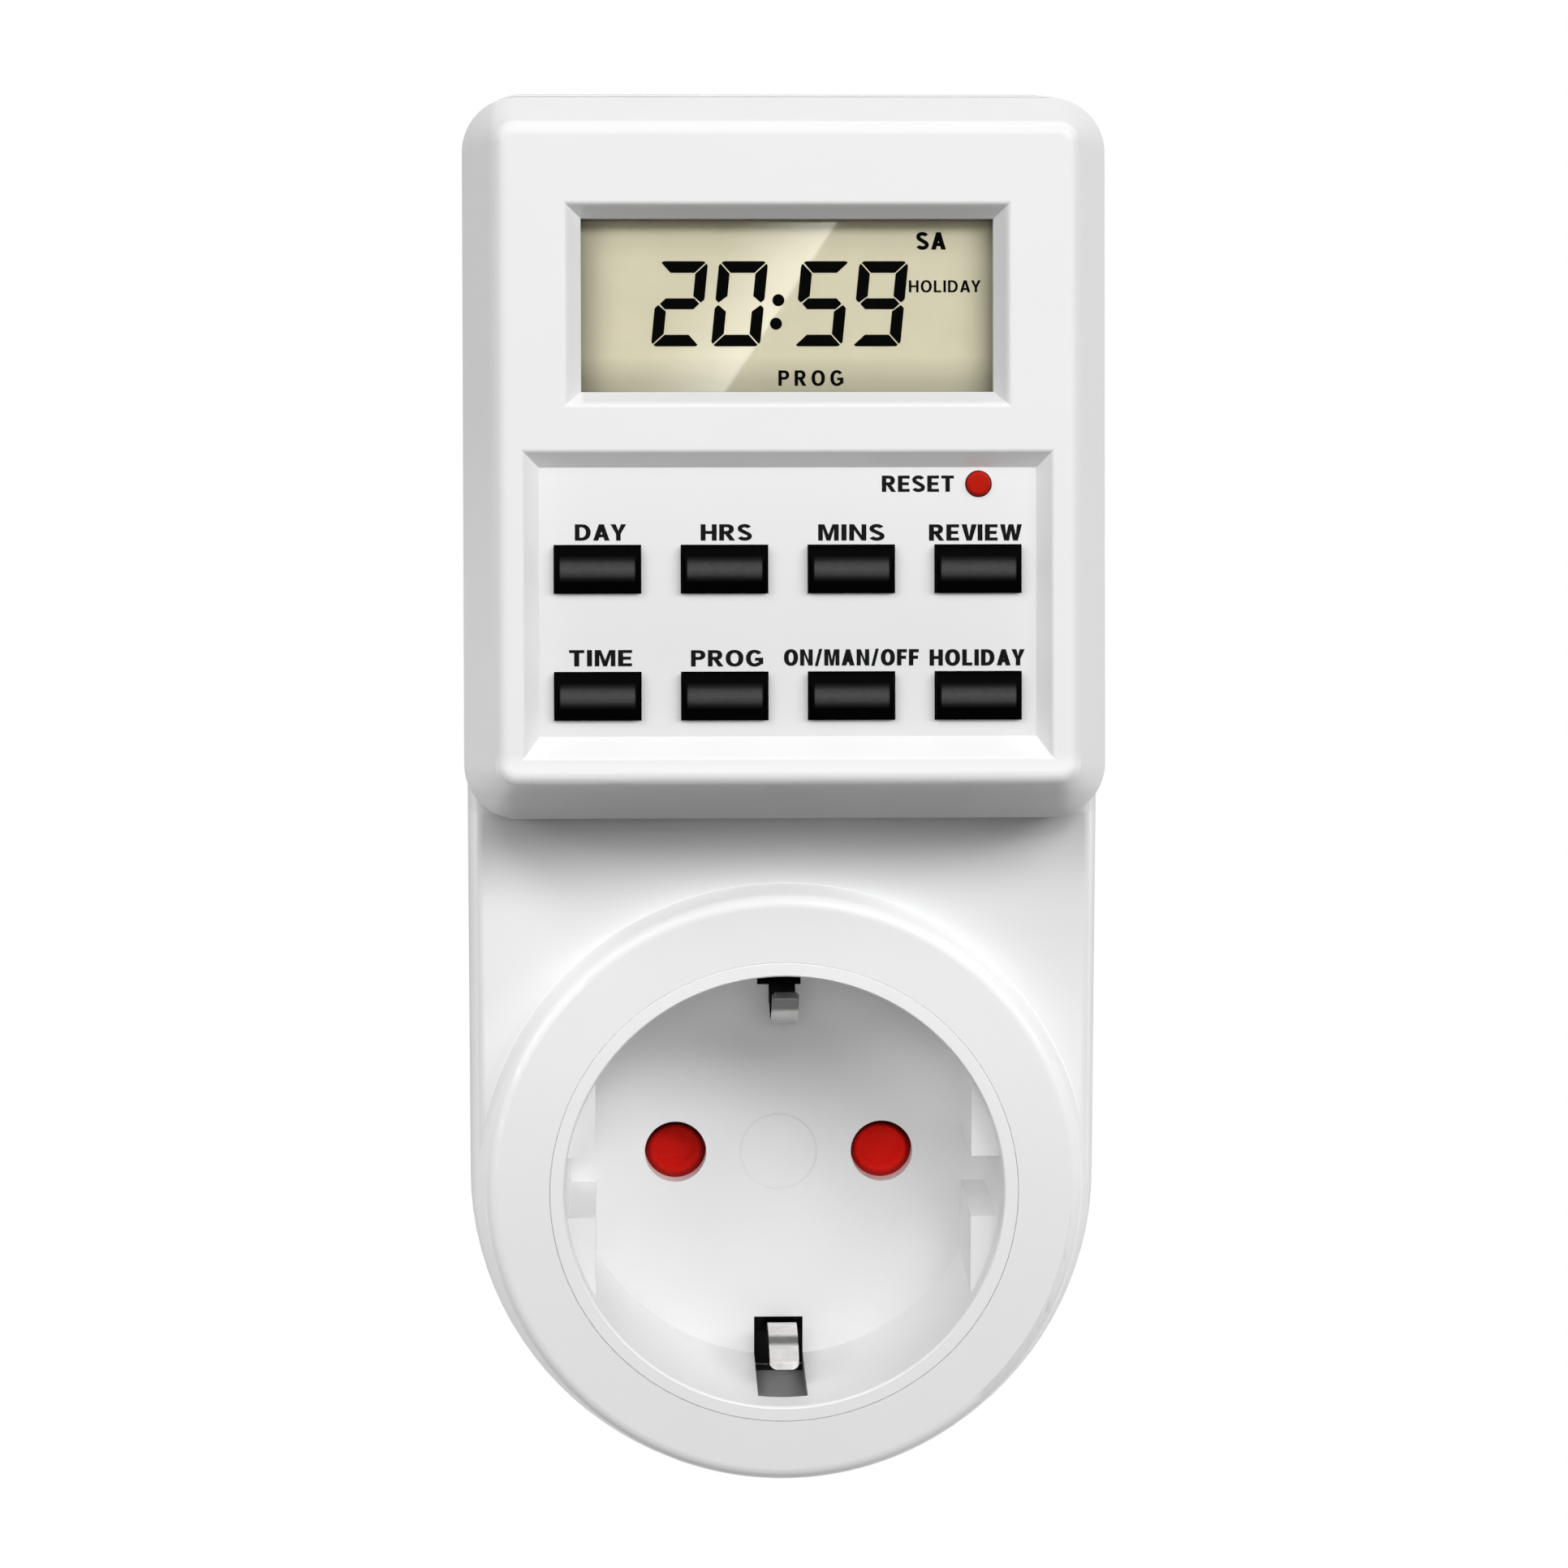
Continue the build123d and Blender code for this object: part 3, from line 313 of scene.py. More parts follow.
def key_black_painted_sheen(name):
    """black key, with a painted reflection: a soft grey band along the middle of its crown"""
    m, nt, b = new_mat(name)
    v = coords_mm(nt)
    dot = nt.nodes.new("ShaderNodeVectorMath")
    dot.operation = "DOT_PRODUCT"
    nt.links.new(v, dot.inputs[0])
    dot.inputs[1].default_value = (0.0, V_UP.y, V_UP.z)
    h = math_node(nt, "SUBTRACT", dot.outputs["Value"], F0.dot(V_UP))
    rows = [math_node(nt, "ABSOLUTE", math_node(nt, "SUBTRACT", h, r)) for r in KEY_ROWS]
    dv = math_node(nt, "MINIMUM", rows[0], rows[1])
    sep = nt.nodes.new("ShaderNodeSeparateXYZ")
    nt.links.new(v, sep.inputs[0])
    ax = math_node(nt, "ABSOLUTE", sep.outputs[0])
    cols = [math_node(nt, "ABSOLUTE", math_node(nt, "SUBTRACT", ax, c)) for c in KEY_COLS[2:]]
    du = math_node(nt, "MINIMUM", cols[0], cols[1])
    # painted reflection: the grey band across the crown, fading to black at the top, the bottom and the ends
    across = ramp(nt, math_node(nt, "MULTIPLY", dv, 1 / 2.0), [(0.05, (1, 1, 1)), (0.22, (0.72, 0.72, 0.72)), (0.40, (0.16, 0.16, 0.16)), (0.56, (0, 0, 0))])
    along = ramp(nt, math_node(nt, "MULTIPLY", du, 1 / 3.66), [(0.855, (1, 1, 1)), (0.895, (0, 0, 0))])
    mul = nt.nodes.new("ShaderNodeMix")
    mul.data_type = "RGBA"
    mul.blend_type = "MULTIPLY"
    mul.inputs[0].default_value = 1.0
    nt.links.new(across, mul.inputs[6])
    nt.links.new(along, mul.inputs[7])
    # random variation in the painted band's brightness
    sheen_noise = remap(nt, noise(nt, v, 2.0, 3.0, 0.6), 0.92, 1.08, 0.3, 0.7)
    fac = math_node(nt, "MULTIPLY", mul.outputs[2], sheen_noise)
    nt.links.new(ramp(nt, fac, [(0.0, (0.0012, 0.0012, 0.0012)), (1.0, (0.070, 0.070, 0.071))]), b.inputs["Base Color"])
    nt.links.new(remap(nt, noise(nt, v, 1.2, 3.0), 0.38, 0.48), b.inputs["Roughness"])
    b.inputs["Specular IOR Level"].default_value = 0.012
    bump(nt, b, noise(nt, v, 9.0, 2.0, 0.6), 0.05, 0.00002)
    return m


# ------------------------------------------------------------------ materials
# The shade_ functions below multiply base colours by position. Apart from the real differences in
# finish, they carry brightness corrections that stand in for depth and contact shading which the
# studio lights alone don't give. They are fixed to the object, not to the camera. Leave them out
# where the part is to be lit from scratch.
# WHITE_SOCKET lighter and WHITE_COVER darker than WHITE set those parts' brightness: painted light and shade on one
# white plastic
WHITE = (0.872, 0.872, 0.877)
WHITE_COVER = (0.838, 0.838, 0.843)
WHITE_SOCKET = (0.898, 0.898, 0.903)
M = {
    "case_white": moulded("abs_white", WHITE, (0.29, 0.36), 0.6, 0.010, spec=0.5),
    "socket_white": moulded("abs_white_socket", WHITE_SOCKET, (0.30, 0.38), 0.4, 0.008, spec=0.4),
    "cover_white": moulded("abs_white_cover", WHITE_COVER, (0.40, 0.50), 0.8, 0.010, spec=0.4),
    "rear_white": moulded("abs_white_rear", WHITE, (0.40, 0.50), 0.8, 0.010, spec=0.4),
    "clear_window": clear("acrylic_window"),
    "lcd": moulded("lcd_glass_edge", (0.42, 0.41, 0.34), (0.12, 0.2), 0.3, 0.03),
    "grey_rubber": rubbery("silicone_grey", (0.45, 0.45, 0.44)),
    "inner_plastic": moulded("inner_moulding", (0.76, 0.76, 0.73), (0.45, 0.6), 1.5, 0.03),
    "board": printed_board("solder_mask", (0.03, 0.13, 0.045)),
    "red_plastic": moulded("red_polished", (0.60, 0.010, 0.006), (0.22, 0.30), 0.4, 0.04, spec=0.22),
    "black_key": key_black_painted_sheen("key_black_painted_sheen"),
    "black_plastic": moulded("package_black", (0.02, 0.02, 0.02), (0.45, 0.6), 2.0, 0.1),
    "steel": metal("zinc_steel", (0.62, 0.62, 0.60), (0.22, 0.38), 1),
    "nickel": metal("nickel_pin", (0.80, 0.77, 0.71), (0.10, 0.20), 1),
    "plated_spring": metal("nickel_spring", (0.84, 0.83, 0.81), (0.12, 0.24), 1, 0.08),
    "red_reset": moulded("red_reset", (0.46, 0.010, 0.004), (0.34, 0.44), 0.4, 0.04, spec=0.05),
    "brass": metal("brass_stamped", (0.78, 0.58, 0.27), (0.18, 0.34), 2),
    "cell_sleeve": moulded("cell_sleeve", (0.04, 0.16, 0.06), (0.3, 0.4), 0.6, 0.05),
    "relay_blue": moulded("relay_blue", (0.02, 0.07, 0.27), (0.3, 0.42), 1.2, 0.05),
    "capacitor_yellow": moulded("capacitor_yellow", (0.66, 0.43, 0.02), (0.35, 0.5), 1.5, 0.05),
    "capacitor_sleeve": moulded("capacitor_sleeve", (0.012, 0.014, 0.04), (0.25, 0.35), 0.6, 0.1),
    "resistor_body": moulded("resistor_lacquer", (0.30, 0.40, 0.45), (0.35, 0.5), 2.0, 0.08),
    "varistor_blue": moulded("varistor_epoxy", (0.02, 0.07, 0.30), (0.4, 0.55), 2.5, 0.1),
    "ceramic": moulded("fuse_ceramic", (0.76, 0.73, 0.66), (0.5, 0.65), 1.5, 0.04),
    "cable_grey": moulded("ribbon_pvc", (0.40, 0.40, 0.41), (0.45, 0.55), 1.0, 0.04),
    "wire_brown": moulded("wire_brown", (0.09, 0.035, 0.012), (0.4, 0.5), 1.0, 0.06),
    "wire_black": moulded("wire_black", (0.02, 0.02, 0.02), (0.4, 0.5), 1.0, 0.06),
    "wire_blue": moulded("wire_blue", (0.015, 0.06, 0.36), (0.4, 0.5), 1.0, 0.06),
    "ink": moulded("label_ink", (0.007, 0.007, 0.008), (0.5, 0.62), 1.2, 0.15, spec=0.05),
    "segment": moulded("lcd_segment", (0.0015, 0.0015, 0.0015), (0.5, 0.6), 0.4, 0.1, spec=0.02),
    "film": moulded("lcd_polariser", (0.700, 0.652, 0.498), (0.45, 0.55), 0.4, 0.015, spec=0.1),
    # near black, painted shade: the earth bridge wears it to stand in for the shade deep in the earth slot
    "brass_tinned": metal("brass_tinned", (0.05, 0.048, 0.044), (0.35, 0.5), 2),
}


def shade_socket(m):
    """painted shade and light: darkens the floor openings, the earth recess and the groove round the sunk disc, where
    shade falls, and makes the floor and rim lighter towards the top and darker towards the bottom
    """
    nt, b = m.node_tree, principled(m)
    x, y, z = split_xyz(nt, coords_mm(nt))
    ax, az = math_node(nt, "ABSOLUTE", x), math_node(nt, "ABSOLUTE", z)
    hole = product(nt, step_above(nt, y, -9.45), math_node(nt, "LESS_THAN", ax, 2.26), between(nt, az, 13.88, 20.76))
    lip = product(nt, between(nt, y, -9.62, -9.45), math_node(nt, "LESS_THAN", ax, 2.26), between(nt, az, 19.10, 20.76))
    recess = product(nt, between(nt, y, -23.71, -9.62), math_node(nt, "LESS_THAN", ax, 2.26), between(nt, az, 19.46, 20.76))
    r = math_node(nt, "SQRT", math_node(nt, "ADD", product(nt, x, x), product(nt, z, z)))
    ring = product(nt, between(nt, r, 3.40, 3.60), between(nt, y, -9.6, -9.3))
    floor = doubled(nt, track(nt, z, [(-19.0, 0.92), (-16.0, 0.91), (-12.0, 0.93), (-6.0, 0.97), (-1.0, 1.01), (3.0, 1.05), (8.0, 1.10), (19.0, 1.10)]))
    rim = doubled(nt, track(nt, z, [(-21.0, 0.97), (0.0, 1.0), (21.0, 1.09)]))
    base = mix_value(nt, step_above(nt, y, -26.6), rim, floor)
    tint(nt, b, product(nt, base, less(nt, hole, 0.975), less(nt, lip, 0.97), less(nt, recess, 0.66), less(nt, ring, 0.07)))


def shade_rear(m):
    """painted shade: darkens the inside of the rear shell behind the socket's openings"""
    nt, b = m.node_tree, principled(m)
    x, y, z = split_xyz(nt, coords_mm(nt))
    r = math_node(nt, "SQRT", math_node(nt, "ADD", product(nt, x, x), product(nt, z, z)))
    tint(nt, b, less(nt, product(nt, math_node(nt, "LESS_THAN", r, 22.0), math_node(nt, "LESS_THAN", y, -2.3)), 0.95))


def shade_clip(m):
    """bands along the earth clips that stand in for what the rolled strip reflects"""
    nt, b = m.node_tree, principled(m)
    x, y, z = split_xyz(nt, coords_mm(nt))
    d = math_node(nt, "MULTIPLY", math_node(nt, "ADD", y, 27.0), 1.0 / 24.0)

    def along(stops):
        return ramp(nt, d, [(a / 24.0, (k, k, k)) for a, k in stops])
    low = along([(4.9, 1.0), (6.6, 1.0), (7.5, 0.97), (8.1, 0.26), (8.9, 0.24), (9.4, 0.85), (12.2, 1.0), (14.0, 0.25), (17.0, 0.03)])
    upp = along([(4.7, 0.26), (5.3, 0.13), (6.6, 0.16), (7.1, 0.58), (10.0, 0.66), (12.5, 0.50), (14.0, 0.15), (17.0, 0.03)])
    mx = nt.nodes.new("ShaderNodeMix")
    mx.data_type = "RGBA"
    nt.links.new(step_above(nt, z, 0.0), mx.inputs[0])
    nt.links.new(low, mx.inputs[6])
    nt.links.new(upp, mx.inputs[7])
    tint(nt, b, mx.outputs[2])
    # the metallic share along each clip also stands in for what the strip reflects: painted reflection
    metal_share_lower = remap(nt, y, 0.15, 1.0, -21.95, -21.6)
    metal_share_upper = doubled(nt, track(nt, y, [(-22.0, 0.15), (-21.6, 0.45), (-19.6, 0.50), (-19.0, 1.0), (-17.9, 1.0), (-17.2, 0.65), (-12.0, 0.65)]))
    nt.links.new(mix_value(nt, step_above(nt, z, 0.0), metal_share_upper, metal_share_lower), b.inputs["Metallic"])


def shade_film(m):
    """painted shade: darkens the polariser towards the edges of the window, where the window's rim shades it, and gives
    it its gloss
    """
    nt, b = m.node_tree, principled(m)
    v = coords_mm(nt)
    dot = nt.nodes.new("ShaderNodeVectorMath")
    dot.operation = "DOT_PRODUCT"
    nt.links.new(v, dot.inputs[0])
    dot.inputs[1].default_value = (0.0, V_UP.y, V_UP.z)
    h = math_node(nt, "SUBTRACT", dot.outputs["Value"], F0.dot(V_UP))
    x = split_xyz(nt, v)[0]

    def side(dist, stops):
        fac = math_node(nt, "MULTIPLY", dist, 0.25)
        return ramp(nt, fac, [(a / 4.0, (k, k, k)) for a, k in stops])
    top = side(math_node(nt, "SUBTRACT", 48.38, h), [(0.0, 1.0), (0.9, 1.0), (1.6, 0.97), (2.3, 0.97), (3.4, 1.0)])
    bot = side(math_node(nt, "SUBTRACT", h, 33.53), [(0.2, 0.62), (1.05, 0.68), (1.75, 0.80), (2.45, 0.89), (3.2, 1.0)])
    left = side(math_node(nt, "ADD", x, 17.7), [(0.1, 0.66), (1.0, 0.76), (1.85, 0.88), (2.7, 0.965), (3.5, 1.0)])
    right = side(math_node(nt, "SUBTRACT", 17.7, x), [(0.1, 0.68), (0.4, 0.72), (1.1, 0.84), (2.0, 0.95), (2.8, 1.0)])
    tint(nt, b, product(nt, top, bot, left, right))
    b.inputs["Coat Weight"].default_value = 1.0
    b.inputs["Coat Roughness"].default_value = 0.02
    b.inputs["Coat IOR"].default_value = 1.5


def shade_shutter(m):
    """painted light and shade: lighter towards the neutral side, and dark at the rims of both dishes, where the holes
    shade them
    """
    nt, b = m.node_tree, principled(m)
    x, y, z = split_xyz(nt, coords_mm(nt))
    dx = math_node(nt, "MULTIPLY", math_node(nt, "SUBTRACT", math_node(nt, "ABSOLUTE", x), 9.5), 1 / 2.84)
    dz = math_node(nt, "MULTIPLY", math_node(nt, "ADD", z, 0.25), 1 / 2.59)
    q = math_node(nt, "SQRT", math_node(nt, "ADD", product(nt, dx, dx), product(nt, dz, dz)))
    rim = remap(nt, q, 0.0, 1.0, 0.76, 0.90)
    dark = remap(nt, dz, 0.42, 0.93, -1.0, 0.7)
    tint(nt, b, product(nt, remap(nt, x, 1.0, 1.42, -6.0, 6.0), less(nt, rim, dark)))


def shade_shell(m):
    """front shell, painted light and shade (brightness correction): lighter disc and edges, darker step under the
    housing, where the housing shades it
    """
    nt, b = m.node_tree, principled(m)
    x, y, z = split_xyz(nt, coords_mm(nt))
    zc = math_node(nt, "SUBTRACT", z, 0.3)
    r = math_node(nt, "SQRT", math_node(nt, "ADD", product(nt, x, x), product(nt, zc, zc)))
    disc = doubled(nt, track(nt, z, [(-28.0, 0.97), (-15.0, 0.99), (0.0, 1.02), (12.0, 1.08), (24.0, 1.10), (28.0, 1.12)]))
    edge = remap(nt, r, 0.0, 1.0, 25.6, 26.1)
    disc = mix_value(nt, edge, disc, remap(nt, z, 1.12, 1.10, 0.0, 22.0))
    slab = doubled(nt, track(nt, z, [(18.0, 1.04), (22.0, 1.06), (24.8, 1.07), (26.2, 1.05), (27.6, 1.00), (29.2, 0.93), (30.6, 0.87), (32.0, 0.82)]))
    side = remap(nt, math_node(nt, "ABSOLUTE", x), 0.0, 1.0, 26.6, 27.2)
    slab = mix_value(nt, side, slab, 1.12)
    above = product(nt, step_above(nt, r, 27.25), step_above(nt, z, 2.0))
    f = mix_value(nt, above, disc, slab)
    # only on what faces forward; the case's sides and top match the other shells
    front = product(nt, remap(nt, y, 1.0, 0.0, -22.5, -19.5), remap(nt, z, 1.0, 0.0, 33.6, 34.0))
    tint(nt, b, mix_value(nt, front, 1.0, f))


def shade_cover(m):
    """timer cover, painted light and shade (brightness correction): darker recesses, left wall and bottom bevel,
    lighter lower lip and panel slopes
    """
    nt, b = m.node_tree, principled(m)
    u, v, w = face_uvw(nt)
    au = math_node(nt, "ABSOLUTE", u)
    sunk = remap(nt, w, 1.0, 0.0, -0.45, -0.10)
    lcd = product(nt, math_node(nt, "LESS_THAN", au, 19.4), between(nt, v, 32.0, 50.0), sunk)
    right = remap(nt, u, 0.05, 0.17, -17.8, -17.4)
    pan = product(nt, math_node(nt, "LESS_THAN", au, 23.0), between(nt, v, 1.8, 28.8), sunk)
    floor = product(nt, pan, math_node(nt, "LESS_THAN", w, -1.385))
    slope = product(nt, pan, step_above(nt, w, -1.385))
    lip = product(nt, remap(nt, v, 1.0, 0.0, 1.4, 2.6), step_above(nt, w, -0.9))
    left = product(nt, remap(nt, u, 1.0, 0.0, -25.6, -25.0), step_above(nt, w, -9.95), remap(nt, v, 0.0, 1.0, 10.0, 32.0))
    f = product(nt, math_node(nt, "SUBTRACT", 1.0, math_node(nt, "MULTIPLY", lcd, right)),
                less(nt, floor, remap(nt, v, 0.07, 0.02, 12.0, 24.0)),
                less(nt, slope, -0.03), less(nt, lip, -0.12), less(nt, left, 0.12),
                less(nt, remap(nt, v, 1.0, 0.0, -1.2, -0.4), 0.07))
    tint(nt, b, f)


M["shell_white"] = moulded("abs_white_shell", WHITE, (0.29, 0.36), 0.6, 0.010, spec=0.5)
shade_shutter(M["red_plastic"])
shade_shell(M["shell_white"])
shade_cover(M["cover_white"])
shade_socket(M["socket_white"])
shade_rear(M["rear_white"])
shade_clip(M["plated_spring"])
shade_film(M["film"])

slot_of = {s["node"]: s["material_slot"] for s in frame["record"]["subparts"]}
for name, obj in NODES.items():
    key = slot_of[name]
    if name == "socket_insert":
        key = "socket_white"
    # painted shade: the earth bridge takes the near-black brass_tinned for the shade deep in the slot
    if name == "earth_bridge":
        key = "brass_tinned"
    if name == "front_shell":
        key = "shell_white"
    if name == "timer_cover":
        key = "cover_white"
    if name == "rear_shell":
        key = "rear_white"
    if name == "reset_button":
        key = "red_reset"
    obj.data.materials.clear()
    obj.data.materials.append(M[key])
    me = obj.data
    me.polygons.foreach_set("use_smooth", [True] * len(me.polygons))
    me.set_sharp_from_angle(angle=math.radians(28))


# ------------------------------------------------------------------ piece helpers
def add_piece(name, me, mat, body="case"):
    o = bpy.data.objects.new(name, me)
    scene.collection.objects.link(o)
    me.materials.clear()
    me.materials.append(mat)
    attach(o, body)
    return o


def prism_mesh(name, polys, w0, w1):
    """closed prisms from (u, v) outlines, counter-clockwise, between w0 and w1 on the timer face"""
    bm = bmesh.new()
    for poly in polys:
        lo = [bm.verts.new(fp(u, v, w0)) for u, v in poly]
        hi = [bm.verts.new(fp(u, v, w1)) for u, v in poly]
        bm.faces.new(list(reversed(lo)))
        bm.faces.new(hi)
        n = len(poly)
        for i in range(n):
            j = (i + 1) % n
            bm.faces.new((lo[i], lo[j], hi[j], hi[i]))
    bmesh.ops.recalc_face_normals(bm, faces=bm.faces[:])
    me = bpy.data.meshes.new(name)
    bm.to_mesh(me)
    bm.free()
    return me


# letters drawn from a stem width, for a cap height of 1
def arc_pts(cx, cy, rx, ry, a0, a1, n=14, p=2.0):
    out = []
    for i in range(n + 1):
        a = math.radians(a0 + (a1 - a0) * i / n)
        c, d = math.cos(a), math.sin(a)
        out.append((cx + rx * math.copysign(abs(c) ** (2.0 / p), c), cy + ry * math.copysign(abs(d) ** (2.0 / p), d)))
    return out


def ribbon(centre, half):
    """outline of a stroke of even width along a centre line"""
    left, right = [], []
    for i, (x, y) in enumerate(centre):
        x0, y0 = centre[max(i - 1, 0)]
        x1, y1 = centre[min(i + 1, len(centre) - 1)]
        d = math.hypot(x1 - x0, y1 - y0)
        nx, ny = -(y1 - y0) / d, (x1 - x0) / d
        left.append((x + nx * half, y + ny * half))
        right.append((x - nx * half, y - ny * half))
    return left + right[::-1]


def glyph(ch, s, h):
    """(contours, width) of a plain sans-serif capital; s and h are the stem and bar widths"""
    m = 0.5
    if ch == "I":
        return [[(0, 0), (s, 0), (s, 1), (0, 1)]], s
    if ch == "L":
        w = 0.56
        return [[(0, 0), (w, 0), (w, h), (s, h), (s, 1), (0, 1)]], w
    if ch == "T":
        w = 0.66
        c = w / 2
        return [[(c - s / 2, 0), (c + s / 2, 0), (c + s / 2, 1 - h), (w, 1 - h), (w, 1), (0, 1), (0, 1 - h), (c - s / 2, 1 - h)]], w
    if ch == "E":
        w = 0.61
        return [[(0, 0), (w, 0), (w, h), (s, h), (s, m - h / 2), (w - 0.05, m - h / 2), (w - 0.05, m + h / 2), (s, m + h / 2),
                 (s, 1 - h), (w, 1 - h), (w, 1), (0, 1)]], w
    if ch == "F":
        w = 0.59
        return [[(0, 0), (s, 0), (s, 0.40), (w - 0.05, 0.40), (w - 0.05, 0.40 + h), (s, 0.40 + h), (s, 1 - h), (w, 1 - h), (w, 1), (0, 1)]], w
    if ch == "H":
        w = 0.74
        return [[(0, 0), (s, 0), (s, m - h / 2), (w - s, m - h / 2), (w - s, 0), (w, 0), (w, 1), (w - s, 1), (w - s, m + h / 2),
                 (s, m + h / 2), (s, 1), (0, 1)]], w
    if ch == "N":
        w = 0.75
        k = s * 0.93
        return [[(0, 0), (k, 0), (k, 0.66), (w - k, 0), (w, 0), (w, 1), (w - k, 1), (w - k, 0.34), (k, 1), (0, 1)]], w
    if ch == "M":
        w = 0.90
        k = s * 0.90
        return [[(0, 0), (k, 0), (k, 0.72), (w / 2 - k * 0.42, 0), (w / 2 + k * 0.42, 0), (w - k, 0.72), (w - k, 0), (w, 0), (w, 1),
                 (w - k * 1.35, 1), (w / 2, 0.36), (k * 1.35, 1), (0, 1)]], w
    if ch == "V":
        w = 0.74
        k = s * 1.08
        return [[(w / 2 - k / 2, 0), (w / 2 + k / 2, 0), (w, 1), (w - k, 1), (w / 2, 0.26), (k, 1), (0, 1)]], w
    if ch == "W":
        w = 1.06
        k = s * 1.0
        return [[(0.20, 0), (0.20 + k, 0), (w / 2, 0.62), (w - 0.20 - k, 0), (w - 0.20, 0), (w, 1), (w - k, 1), (w - 0.30, 0.36),
                 (w / 2 + k / 2, 1), (w / 2 - k / 2, 1), (0.30, 0.36), (k, 1), (0, 1)]], w
    if ch == "A":
        w = 0.78
        k = s * 1.08
        t = (w / 2 - k) / 0.27
        out = [(0, 0), (k, 0), (k + 0.27 * 0.2, 0.2), (w - k - 0.27 * 0.2, 0.2), (w - k, 0), (w, 0), (w - 0.27, 1), (0.27, 1)]
        return [out, [(k + 0.27 * (0.2 + h), 0.2 + h), (w / 2, t), (w - k - 0.27 * (0.2 + h), 0.2 + h)]], w
    if ch == "Y":
        w = 0.75
        c = w / 2
        k = s * 1.12
        return [[(c - s / 2, 0), (c + s / 2, 0), (c + s / 2, 0.41), (w, 1), (w - k, 1), (c, 0.60), (k, 1), (0, 1), (c - s / 2, 0.41)]], w
    if ch == "O":
        w = 0.84
        return [arc_pts(w / 2, m, w / 2, 0.515, 0, 345, 23, 2.25), arc_pts(w / 2, m, w / 2 - s * 1.04, 0.515 - h * 1.02, 0, 345, 23, 2.2)[::-1]], w
    if ch == "D":
        w = 0.75
        out = [(0, 0)] + arc_pts(0.33, m, w - 0.33, 0.5, -90, 90, 18, 2.15) + [(0, 1)]
        inn = [(s, h)] + arc_pts(0.31, m, w - 0.31 - s * 1.03, 0.5 - h, -90, 90, 18, 2.1) + [(s, 1 - h)]
        return [out, inn[::-1]], w
    if ch in "PR":
        w = 0.68
        lo, hi = 0.40, 1.0
        c = (lo + hi) / 2
        bowl = arc_pts(w - 0.30, c, 0.30, (hi - lo) / 2, -90, 90, 14, 2.1)
        inn = [(s, lo + h)] + arc_pts(w - 0.32, c, 0.32 - s, (hi - lo) / 2 - h, -90, 90, 12, 2.1) + [(s, 1 - h)]
        if ch == "P":
            return [[(0, 0), (s, 0), (s, lo)] + bowl + [(0, 1)], inn[::-1]], w
        leg = [(0, 0), (s, 0), (s, lo), (0.27, lo), (0.49, 0), (0.74, 0), (0.50, 0.405)]
        bowl = arc_pts(w - 0.28, c, 0.28, (hi - lo) / 2, -75, 90, 13, 2.1)
        return [leg + bowl + [(0, 1)], inn[::-1]], 0.72
    if ch == "G":
        w = 0.82
        out = arc_pts(w / 2, m, w / 2, 0.515, 38, 312, 24, 2.2)
        inn = arc_pts(w / 2, m, w / 2 - s * 1.04, 0.515 - h * 1.02, 308, 40, 22, 2.15)
        bar = [(w, 0.16), (w, 0.53), (0.43, 0.53), (0.43, 0.53 - h), (w - s, 0.53 - h), (w - s, 0.235)]
        return [out + bar + inn], w
    if ch == "S":
        w = 0.68
        q = (s + h) / 4
        top = arc_pts(w / 2 - 0.005, 0.735, w / 2 - q - 0.02, 0.265 - q + 0.012, 18, 235, 14, 2.1)
        low = arc_pts(w / 2, 0.27, w / 2 - q, 0.27 - q + 0.012, 60, -162, 15, 2.1)
        return [ribbon(top + low, q)], w
    if ch == "/":
        return [[(0, -0.03), (s * 0.72, -0.03), (0.26 + s * 0.72, 1.03), (0.26, 1.03)]], 0.26 + s * 0.72
    return [], 0.3


def text_mesh(name, text, cu, cv, cap, width, stem=0.20, bar=0.165, gap=0.13, w0=0.0, thick=0.02):
    """letters as closed solids lying on the timer face, centred on (cu, cv)"""
    data = bpy.data.curves.new(name + "_c", "CURVE")
    data.dimensions = "2D"
    data.fill_mode = "BOTH"
    data.extrude = 0.5
    x = 0.0
    for ch in text:
        contours, w = glyph(ch, stem, bar)
        for poly in contours:
            sp = data.splines.new("POLY")
            sp.points.add(len(poly) - 1)
            for pt, (px, py) in zip(sp.points, poly):
                pt.co = (x + px, py, 0.0, 1.0)
            sp.use_cyclic_u = True
        x += w + gap * (0.35 if ch in "AV" and len(text) < 8 else 1.0)
    tmp = bpy.data.objects.new(name + "_t", data)
    scene.collection.objects.link(tmp)
    bpy.context.view_layer.update()
    dg = bpy.context.evaluated_depsgraph_get()
    me = bpy.data.meshes.new_from_object(tmp.evaluated_get(dg))
    bpy.data.objects.remove(tmp)
    me.name = name
    xs = [v.co.x for v in me.vertices]
    x0, x1 = min(xs), max(xs)
    kx = width / (x1 - x0)
    for v in me.vertices:
        u = (v.co.x - (x0 + x1) / 2) * kx + cu
        q = (v.co.y - 0.5) * cap + cv
        v.co = fp(u, q, w0 + (thick if v.co.z > 0 else 0.0))
    me.update()
    bm = bmesh.new()
    bm.from_mesh(me)
    bmesh.ops.remove_doubles(bm, verts=bm.verts[:], dist=1e-7)
    bmesh.ops.recalc_face_normals(bm, faces=bm.faces[:])
    bm.to_mesh(me)
    bm.free()
    return me


# ------------------------------------------------------------------ display
film = prism_mesh("lcd_film", [[(-18.9, 32.5), (18.9, 32.5), (18.9, 49.5), (-18.9, 49.5)]], -3.25, -3.225)
add_piece("lcd_film", film, M["film"])

